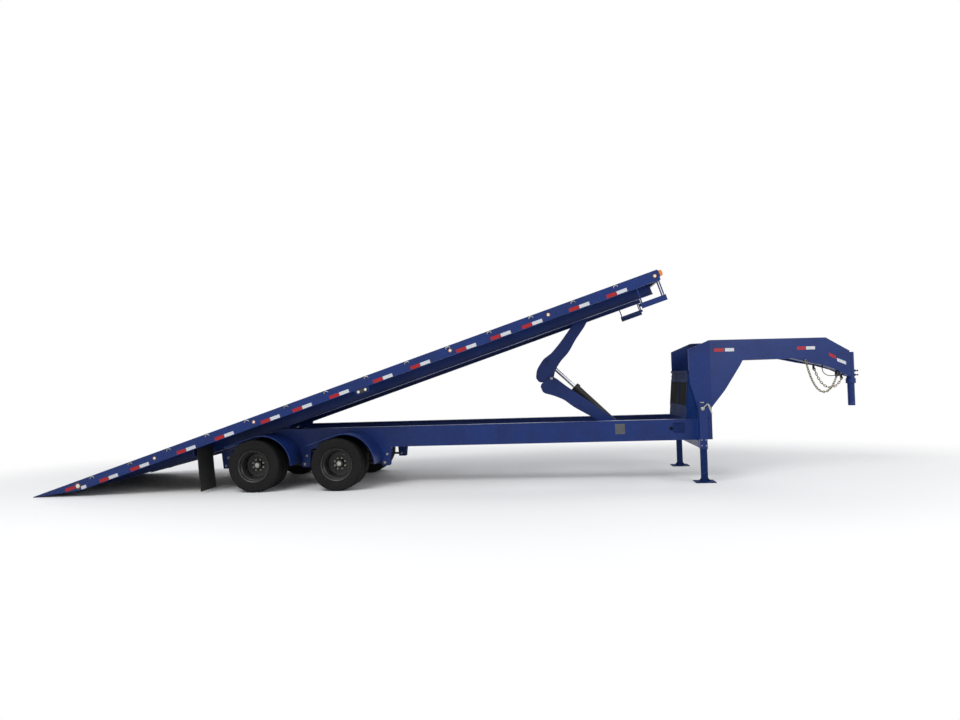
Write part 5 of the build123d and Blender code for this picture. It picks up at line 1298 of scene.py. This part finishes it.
def hang(run, drop, length):
    # a chain's own curve between two ends: its scale and how far along its lowest point lies
    want = math.sqrt(length ** 2 - drop ** 2) / run
    low, high = 1e-6, 20.0
    for _ in range(60):
        middle = (low + high) / 2
        if math.sinh(middle) / middle < want:
            low = middle
        else:
            high = middle
    scale = run / 2 / low
    return scale, run / 2 - scale * math.asinh(drop / (2 * scale * math.sinh(run / (2 * scale))))


def addLink(bm, place):
    # a link of round wire: two half turns joined by straight sides
    wire = chain["wire"] / 2
    bend = chain["insideWidth"] / 2 + wire
    reach = chain["inside"] / 2 + wire - bend
    points = [(x, y, 0) for x, y in ovalRing(2 * (reach + bend), 2 * bend, 6)]
    addTube(bm, points, wire, 8, closed=True, place=place)


def addTab(bm, x, y, low):
    # a plate that hangs from the neck's lower flange down to a height
    x0, x1 = x - chain["tabHalf"], x + chain["tabHalf"]
    tops = [neckUnderside(edge, y) + neck["flange"] / 2 for edge in (x0, x1)]
    outline = [(x0, tops[0]), (x1, tops[1]), (x1, low), (x0, low)]
    addOutline(bm, outline, y - chain["tab"] / 2, y + chain["tab"] / 2)


bm, fittings = bmesh.new(), bmesh.new()
for start, finish, count in chain["spans"]:
    startSpot, finishSpot = Vector(start), Vector(finish)
    runX, runY, drop = finishSpot - startSpot
    run = math.hypot(runX, runY)
    pitch = chain["inside"] - chain["play"]
    endStep = chain["inside"] / 2 - chain["pinR"] - chain["play"] / 2
    length = 2 * endStep + (count - 1) * pitch
    scale, lowest = hang(run, drop, length)
    along, sideways = Vector((runX / run, runY / run, 0)), Vector((-runY / run, runX / run, 0))
    first = scale * math.sinh(-lowest / scale)
    for index in range(count):
        reach = lowest + scale * math.asinh((first + endStep + index * pitch) / scale)
        slope = math.sinh((reach - lowest) / scale)
        height = scale * (math.cosh((reach - lowest) / scale) - math.cosh(-lowest / scale))
        tangent = (along + Vector((0, 0, slope))).normalized()
        normal = sideways if index % 2 == 0 else tangent.cross(sideways)
        across = normal.cross(tangent)
        spot = startSpot + along * reach + Vector((0, 0, height))
        addLink(bm, Matrix.Translation(spot) @ Matrix((tangent, across, normal)).transposed().to_4x4())
    for spot in (startSpot, finishSpot):
        pinLine, pinRun = alongLine(spot - sideways * chain["wire"], spot + sideways * chain["pinLength"])
        addTurned(fittings, [(chain["pinR"] - 0.001, 0.0), (chain["pinR"], 0.001), (chain["pinR"], pinRun)],
                  20, pinLine)
        addTurned(fittings, [(chain["eyeR"], 0.0), (chain["eyeR"], chain["eyeT"])], 20, pinLine)
        addTab(fittings, spot.x, (spot + sideways * chain["pinLength"]).y, spot.z - chain["tabHalf"])
finishPiece("safetyChainLinks", bm, chainZinc, "frame", replaced=["safety_chains"])

lead = {"points": ((8.500, -0.130, 1.575), (8.500, -0.130, 1.528), (8.532, -0.124, 1.482),
                   (8.583, -0.117, 1.452), (8.640, -0.110, 1.445), (8.692, -0.105, 1.452)),
        "diameter": 0.012, "length": 0.270, "plug": 0.062, "plugR": 0.017, "grip": 0.020, "wall": 0.005,
        "ribs": 10}
curve = bpy.data.curves.new("leadCable", "CURVE")
curve.dimensions = "3D"
curve.bevel_depth = lead["diameter"] / 2
curve.bevel_resolution = 5
curve.resolution_u = 16
curve.use_fill_caps = True
spline = curve.splines.new("NURBS")
spline.points.add(len(lead["points"]) - 1)
for point, (x, y, z) in zip(spline.points, lead["points"]):
    point.co = (x - layout["centreX"], y, z, 1)
spline.order_u = 3
spline.use_endpoint_u = True
curve.materials.append(cableSheath)
cable = bpy.data.objects.new("leadCable", curve)
bpy.context.collection.objects.link(cable)
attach(cable, "frame")
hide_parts("electric_lead")

beforeEnd, endSpot = Vector(lead["points"][-2]), Vector(lead["points"][-1])
plugLine, plugRun = alongLine(endSpot, endSpot + (endSpot - beforeEnd).normalized() * lead["plug"])
bm = bmesh.new()
radius = lead["plugR"]
addTurned(bm, [(0.0, 0.0), (0.0075, 0.0), (0.0100, 0.010), (0.0135, 0.018), (radius, 0.022),
               (radius, plugRun - 0.002), (radius - 0.002, plugRun), (0.0, plugRun)], 36, plugLine)
for rib in range(lead["ribs"]):
    turnTo = plugLine @ Matrix.Rotation(2 * math.pi * rib / lead["ribs"], 4, "Y")
    addBox(bm, (-0.0018, 0.024, radius - 0.002), (0.0018, 0.040, radius - 0.0001), turnTo)
plug = finishPiece("leadPlug", bm, blackPlastic, "frame", sharp=30, replaced=["lead_plug"])
x, y, z = lead["points"][0]

# the holder that the plug is pushed into, and its tab under the neck
mouth, back, bore = plugRun - lead["grip"], plugRun + lead["grip"], radius + 0.0002
addTurned(fittings, [(bore, mouth), (radius + lead["wall"], mouth), (radius + lead["wall"], back),
                     (radius - 0.004, back), (radius - 0.004, plugRun + 0.0005), (bore, plugRun + 0.0005)],
          40, plugLine, closed=True)
holder = plugLine @ Vector((0, plugRun, 0))
addTab(fittings, holder.x, holder.y, holder.z + chain["tabHalf"])
# the gland that the lead comes out of
glandTop = neckUnderside(x, y) + neck["flange"] / 2
down = moved(x, y, 0) @ spun(90, "X")
addTurned(fittings, [(0.0062, z - 0.012), (0.0075, z - 0.012), (0.0100, z), (0.0105, z),
                     (0.0125, z + 0.004)], 28, down)
addTurned(fittings, [(0.0125, z + 0.004), (0.0128, z + 0.006), (0.0128, z + 0.016), (0.0115, z + 0.018)],
          6, down)
addTurned(fittings, [(0.0110, z + 0.017), (0.0110, glandTop)], 28, down)
finishPiece("neckFittings", fittings, blackPaint, "frame", sharp=30,
            replaced=["neck_fittings"])
print("neck dressed")


# jacks: square tubes with a leg that winds down, its foot, and a folded crank
jack = {"x": 6.525, "y": 0.930, "tube": 0.102, "wall": 0.009, "leg": 0.084, "legWall": 0.008,
        "legTop": 0.700, "tubeZ": (0.470, 1.125), "cap": 0.006, "foot": 0.280, "footT": 0.012,
        "footDepthShare": 0.9, "rib": (0.045, 0.055), "boltZs": (0.520, 0.600), "boltX": 0.030,
        "crankZ": 1.045, "crankR": 0.008, "bossR": 0.026, "bossT": 0.022,
        "crankRun": ((0.0, 0.0), (0.062, 0.070), (0.096, 0.040), (0.128, -0.096))}


def addSquareTube(bm, half, wall, z0, z1, place):
    rings = []
    for reach, z in ((half, z0), (half, z1), (half - wall, z1), (half - wall, z0)):
        rings.append([bm.verts.new((sx * reach, sy * reach, z))
                      for sx, sy in ((-1, -1), (1, -1), (1, 1), (-1, 1))])
    joinRings(bm, rings, closed=True, backwards=True)
    settle(bm, rings, place)


tubes, legs, cranks = bmesh.new(), bmesh.new(), bmesh.new()
z0, z1 = jack["tubeZ"]
half, leg, foot = jack["tube"] / 2, jack["leg"] / 2, jack["foot"] / 2
face, footT, (ribOut, ribUp) = -half, jack["footT"], jack["rib"]
for turn in bothSides:
    place = turn @ moved(jack["x"], -jack["y"], 0)
    addSquareTube(tubes, half, jack["wall"] - 0.0004, z0, z1 - jack["cap"], place)
    addBox(tubes, (-half, -half, z1 - jack["cap"]), (half, half, z1), place)
    addSquareTube(legs, leg, jack["legWall"], footT, jack["legTop"], place)
    footDepth = foot * jack["footDepthShare"]
    addBox(legs, (-foot, -footDepth, 0.0), (foot, footDepth, footT), place)
    for sx in (-1, 1):
        rib = [(sx * leg, footT), (sx * (leg + ribOut), footT), (sx * leg, footT + ribUp)]
        addOutline(legs, rib if sx > 0 else rib[::-1], -0.005, 0.005, place)
    cap = [(0.034, 0.0), (0.034, 0.010), (0.030, 0.0135), (0.012, 0.014), (0.0, 0.014)]
    addTurnedAt(cranks, z1, cap, 40, place @ spun(90, "X"))
    boss = [(jack["bossR"], 0.001), (jack["bossR"], -0.006), (0.018, -0.010), (0.018, -0.018),
            (0.0155, -jack["bossT"] + 0.001)]
    addTurnedAt(cranks, face, boss, 32, place @ moved(0, 0, jack["crankZ"]))
    line = [(x, face - jack["bossT"] + jack["crankR"], jack["crankZ"] + z)
            for x, z in rounded(jack["crankRun"], 0.25)[3:-3]]
    addTube(cranks, line, jack["crankR"] - 0.0003, 14, place=place)
    gripLine, gripRun = alongLine(line[-8], line[-1])
    addTurned(cranks, [(0.0078, 0.0), (0.0079, 0.002), (0.0079, gripRun)], 20, place @ gripLine)
    for z in jack["boltZs"]:
        for sx in (-1, 1):
            bolt = [(0.009, -0.0005), (0.009, -0.006), (0.007, -0.008)]
            addTurnedAt(cranks, face, bolt, 6, place @ moved(sx * jack["boltX"], 0, z))
finishPiece("jackTubes", tubes, bluePaint, "frame", bevel=0.005, replaced=["jack_tubes"])
finishPiece("jackLegs", legs, dullBlue, "frame", bevel=0.003, replaced=["jack_legs"])
finishPiece("jackCranks", cranks, zinc, "frame", sharp=32, replaced=["jack_cranks"])

# small fittings on the near rail: a round plug, a ribbed cover whose plate between the ribs carries painted
# shade, and a blank plate
railFit = {"y": -0.700, "plug": (6.124, 0.752), "cover": (6.152, 6.315, 0.691, 0.835), "coverT": 0.006,
           "ribs": 9, "ribHalf": 0.004, "ribT": 0.005, "ribIn": 0.012, "ribEdge": 0.014,
           "plate": (5.312, 5.453, 0.688, 0.839), "plateT": 0.0012, "rivetIn": 0.008,
           "plugProfile": ((0.0, -0.014), (0.010, -0.014), (0.017, -0.010), (0.020, -0.003), (0.026, -0.003),
                           (0.026, 0.001), (0.0, 0.001)),
           "rivetProfile": ((0.0035, -0.001), (0.003, -0.0025), (0.0015, -0.003))}
bm, ribs, plugBm = bmesh.new(), bmesh.new(), bmesh.new()
y, half = railFit["y"], railFit["ribHalf"]
addTurnedAt(plugBm, y, railFit["plugProfile"], 32, pinPlace(railFit["plug"]))
x0, x1, z0, z1 = railFit["cover"]
out, edge, inset = y - railFit["coverT"], railFit["ribEdge"], railFit["ribIn"]
addBox(bm, (x0, out, z0), (x1, y, z1))
for rib in range(railFit["ribs"]):
    x = x0 + edge + rib * (x1 - x0 - 2 * edge) / (railFit["ribs"] - 1)
    addBox(ribs, (x - half, out - railFit["ribT"], z0 + inset), (x + half, out, z1 - inset))
# painted shade: the cover's plate between the ribs is a darker, duller blue for the shade in the grooves,
# and the ribs keep the glossy paint so they show as stripes
finishPiece("railCover", bm, dullBlue, "frame", bevel=0.001)
finishPiece("railCoverRibs", ribs, bluePaint, "frame", bevel=0.001)
finishPiece("railPlug", plugBm, mattBlack, "frame")
bm = bmesh.new()
x0, x1, z0, z1 = railFit["plate"]
addBox(bm, (x0, y - railFit["plateT"], z0), (x1, y, z1))
inset = railFit["rivetIn"]
for x, z in ((x0 + inset, z0 + inset), (x1 - inset, z0 + inset), (x1 - inset, z1 - inset),
             (x0 + inset, z1 - inset)):
    addTurnedAt(bm, y, railFit["rivetProfile"], 12, pinPlace((x, z)))
finishPiece("railPlate", bm, platedSteel, "frame")

# painted shade: dark sheets over the recessed panels between the bars of the tool box's frame, standing in
# for the shade that falls there
boxShadeSheet = {"lowX": 6.345, "lowZ": 0.885, "highX": 6.405, "highZ": 1.584, "z": (1.076, 1.418),
            "y": (0.020, 0.634), "proud": 0.003}


def boxWallX(z):
    # where the tool box's leaning rear wall stands at a height
    share = (z - boxShadeSheet["lowZ"]) / (boxShadeSheet["highZ"] - boxShadeSheet["lowZ"])
    return boxShadeSheet["lowX"] + (boxShadeSheet["highX"] - boxShadeSheet["lowX"]) * share


bm = bmesh.new()
z0, z1 = boxShadeSheet["z"]
sheet = [(boxWallX(z0) - boxShadeSheet["proud"], z0), (boxWallX(z0), z0), (boxWallX(z1), z1),
         (boxWallX(z1) - boxShadeSheet["proud"], z1)]
for turn in bothSides:
    addOutline(bm, sheet, -boxShadeSheet["y"][1], -boxShadeSheet["y"][0], turn)
# matt black here is painted shade in the recess, not a colour of the box
finishPiece("boxPanels", bm, mattBlack, "frame")

# weld beads where plates meet
weld = {"radius": 0.0045, "step": 0.011, "neck": 0.78,
        "lines": (((6.536, -0.706, 0.886), (6.708, -0.706, 0.886)),
                  ((6.712, -0.7005, 1.728), (6.712, -0.7005, 2.015)),
                  ((6.712, -0.7005, 1.045), (6.712, -0.7005, 1.720)),
                  ((6.4745, -0.885, 0.486), (6.4745, -0.885, 0.578)),
                  ((6.5755, -0.885, 0.486), (6.5755, -0.885, 0.578)))}


def addWeld(bm, start, finish, place):
    # a bead of short ripples between two points
    line, length = alongLine(start, finish)
    count = max(2, int(length / weld["step"]))
    profile = [(0.001, 0.0)]
    for index in range(count):
        step, along = length / count, length * index / count
        swell = random.uniform(0.9, 1.15)
        profile += [(weld["radius"] * swell, along + step * 0.35),
                    (weld["radius"] * weld["neck"], along + step * 0.95)]
    profile.append((0.001, length))
    addTurned(bm, profile, 8, place @ line)


bm = bmesh.new()
for turn in bothSides:
    for start, finish in weld["lines"]:
        addWeld(bm, start, finish, turn)
finishPiece("frameWelds", bm, bluePaint, "frame", sharp=60)

print("jacks and small fittings made")


# a pale floor, a soft studio and a white background for the camera
studio = {"floorSize": 120.0, "floorTone": 0.80, "worldLight": 0.62, "fadeX": 11.0, "fadeY": 7.0,
          "fadeFrom": 0.55,
          # each lamp: where it hangs, what it points at, its width and height, its watts
          "lamps": {"keyLamp": ((-5.0, -10.0, 11.0), (0.5, 0, 1.0), (9.0, 6.0), 1250.0),
                    "fillLamp": ((10.0, -8.0, 5.0), (1.0, 0, 1.0), (7.0, 5.0), 450.0),
                    "backLamp": ((3.0, 11.0, 8.0), (0.5, 0, 1.2), (9.0, 4.0), 420.0)}}


def seenDirectly(tree):
    # one for rays from the camera and for those by way of a mirror or glass, none for the rest
    paths = addNode(tree, "ShaderNodeLightPath")
    metal = mathNode(tree, "MAXIMUM", paths.outputs["Is Glossy Ray"], paths.outputs["Is Transmission Ray"])
    return mathNode(tree, "MAXIMUM", paths.outputs["Is Camera Ray"], metal)


world = bpy.data.worlds.new("studio")
bpy.context.scene.world = world
world.use_nodes = True
tree = world.node_tree
tree.nodes.clear()
outputNode = addNode(tree, "ShaderNodeOutputWorld")
lightShader = addNode(tree, "ShaderNodeBackground",
                      values={"Color": (0.95, 0.97, 1.0, 1), "Strength": studio["worldLight"]})
whiteShader = addNode(tree, "ShaderNodeBackground", values={"Color": (1, 1, 1, 1), "Strength": 1.0})
mixShader = addNode(tree, "ShaderNodeMixShader")
tree.links.new(seenDirectly(tree), mixShader.inputs["Fac"])
tree.links.new(lightShader.outputs[0], mixShader.inputs[1])
tree.links.new(whiteShader.outputs[0], mixShader.inputs[2])
tree.links.new(mixShader.outputs[0], outputNode.inputs["Surface"])

floorPaint = bpy.data.materials.new("floorPaint")
floorPaint.use_nodes = True
tree = floorPaint.node_tree
shader = tree.nodes["Principled BSDF"]
shader.inputs["Base Color"].default_value = (*[studio["floorTone"]] * 3, 1)
shader.inputs["Roughness"].default_value = 0.9
shader.inputs["Specular IOR Level"].default_value = 0.1
distance = addNode(tree, "ShaderNodeVectorMath", {"operation": "LENGTH"})
flatten = addNode(tree, "ShaderNodeMapping", values={"Scale": (1 / studio["fadeX"], 1 / studio["fadeY"], 1)})
tree.links.new(addNode(tree, "ShaderNodeTexCoord").outputs["Object"], flatten.inputs["Vector"])
tree.links.new(flatten.outputs["Vector"], distance.inputs[0])
outward = rangeNode(tree, distance.outputs["Value"], studio["fadeFrom"], 1.0)
whiteGlow = addNode(tree, "ShaderNodeEmission", values={"Color": (1, 1, 1, 1), "Strength": 1.0})
floorMix = addNode(tree, "ShaderNodeMixShader")
tree.links.new(multiply(tree, outward, seenDirectly(tree)), floorMix.inputs["Fac"])
tree.links.new(shader.outputs["BSDF"], floorMix.inputs[1])
tree.links.new(whiteGlow.outputs["Emission"], floorMix.inputs[2])
tree.links.new(floorMix.outputs["Shader"], tree.nodes["Material Output"].inputs["Surface"])
half = studio["floorSize"] / 2
mesh = bpy.data.meshes.new("studioFloor")
mesh.from_pydata([(-half, -half, 0), (half, -half, 0), (half, half, 0), (-half, half, 0)], [],
                 [(0, 1, 2, 3)])
mesh.materials.append(floorPaint)
floor = bpy.data.objects.new("studioFloor", mesh)
bpy.context.collection.objects.link(floor)


for name, (spot, target, size, power) in studio["lamps"].items():
    lamp = bpy.data.lights.new(name, "AREA")
    lamp.shape = "RECTANGLE"
    lamp.size, lamp.size_y = size
    lamp.energy = power
    holder = bpy.data.objects.new(name, lamp)
    aim = (Vector(target) - Vector(spot)).to_track_quat("-Z", "Y").to_matrix().to_4x4()
    holder.matrix_world = Matrix.Translation(spot) @ aim
    holder.visible_camera = False
    bpy.context.collection.objects.link(holder)
bpy.context.scene.view_settings.view_transform = "Standard"
print("studio lit")
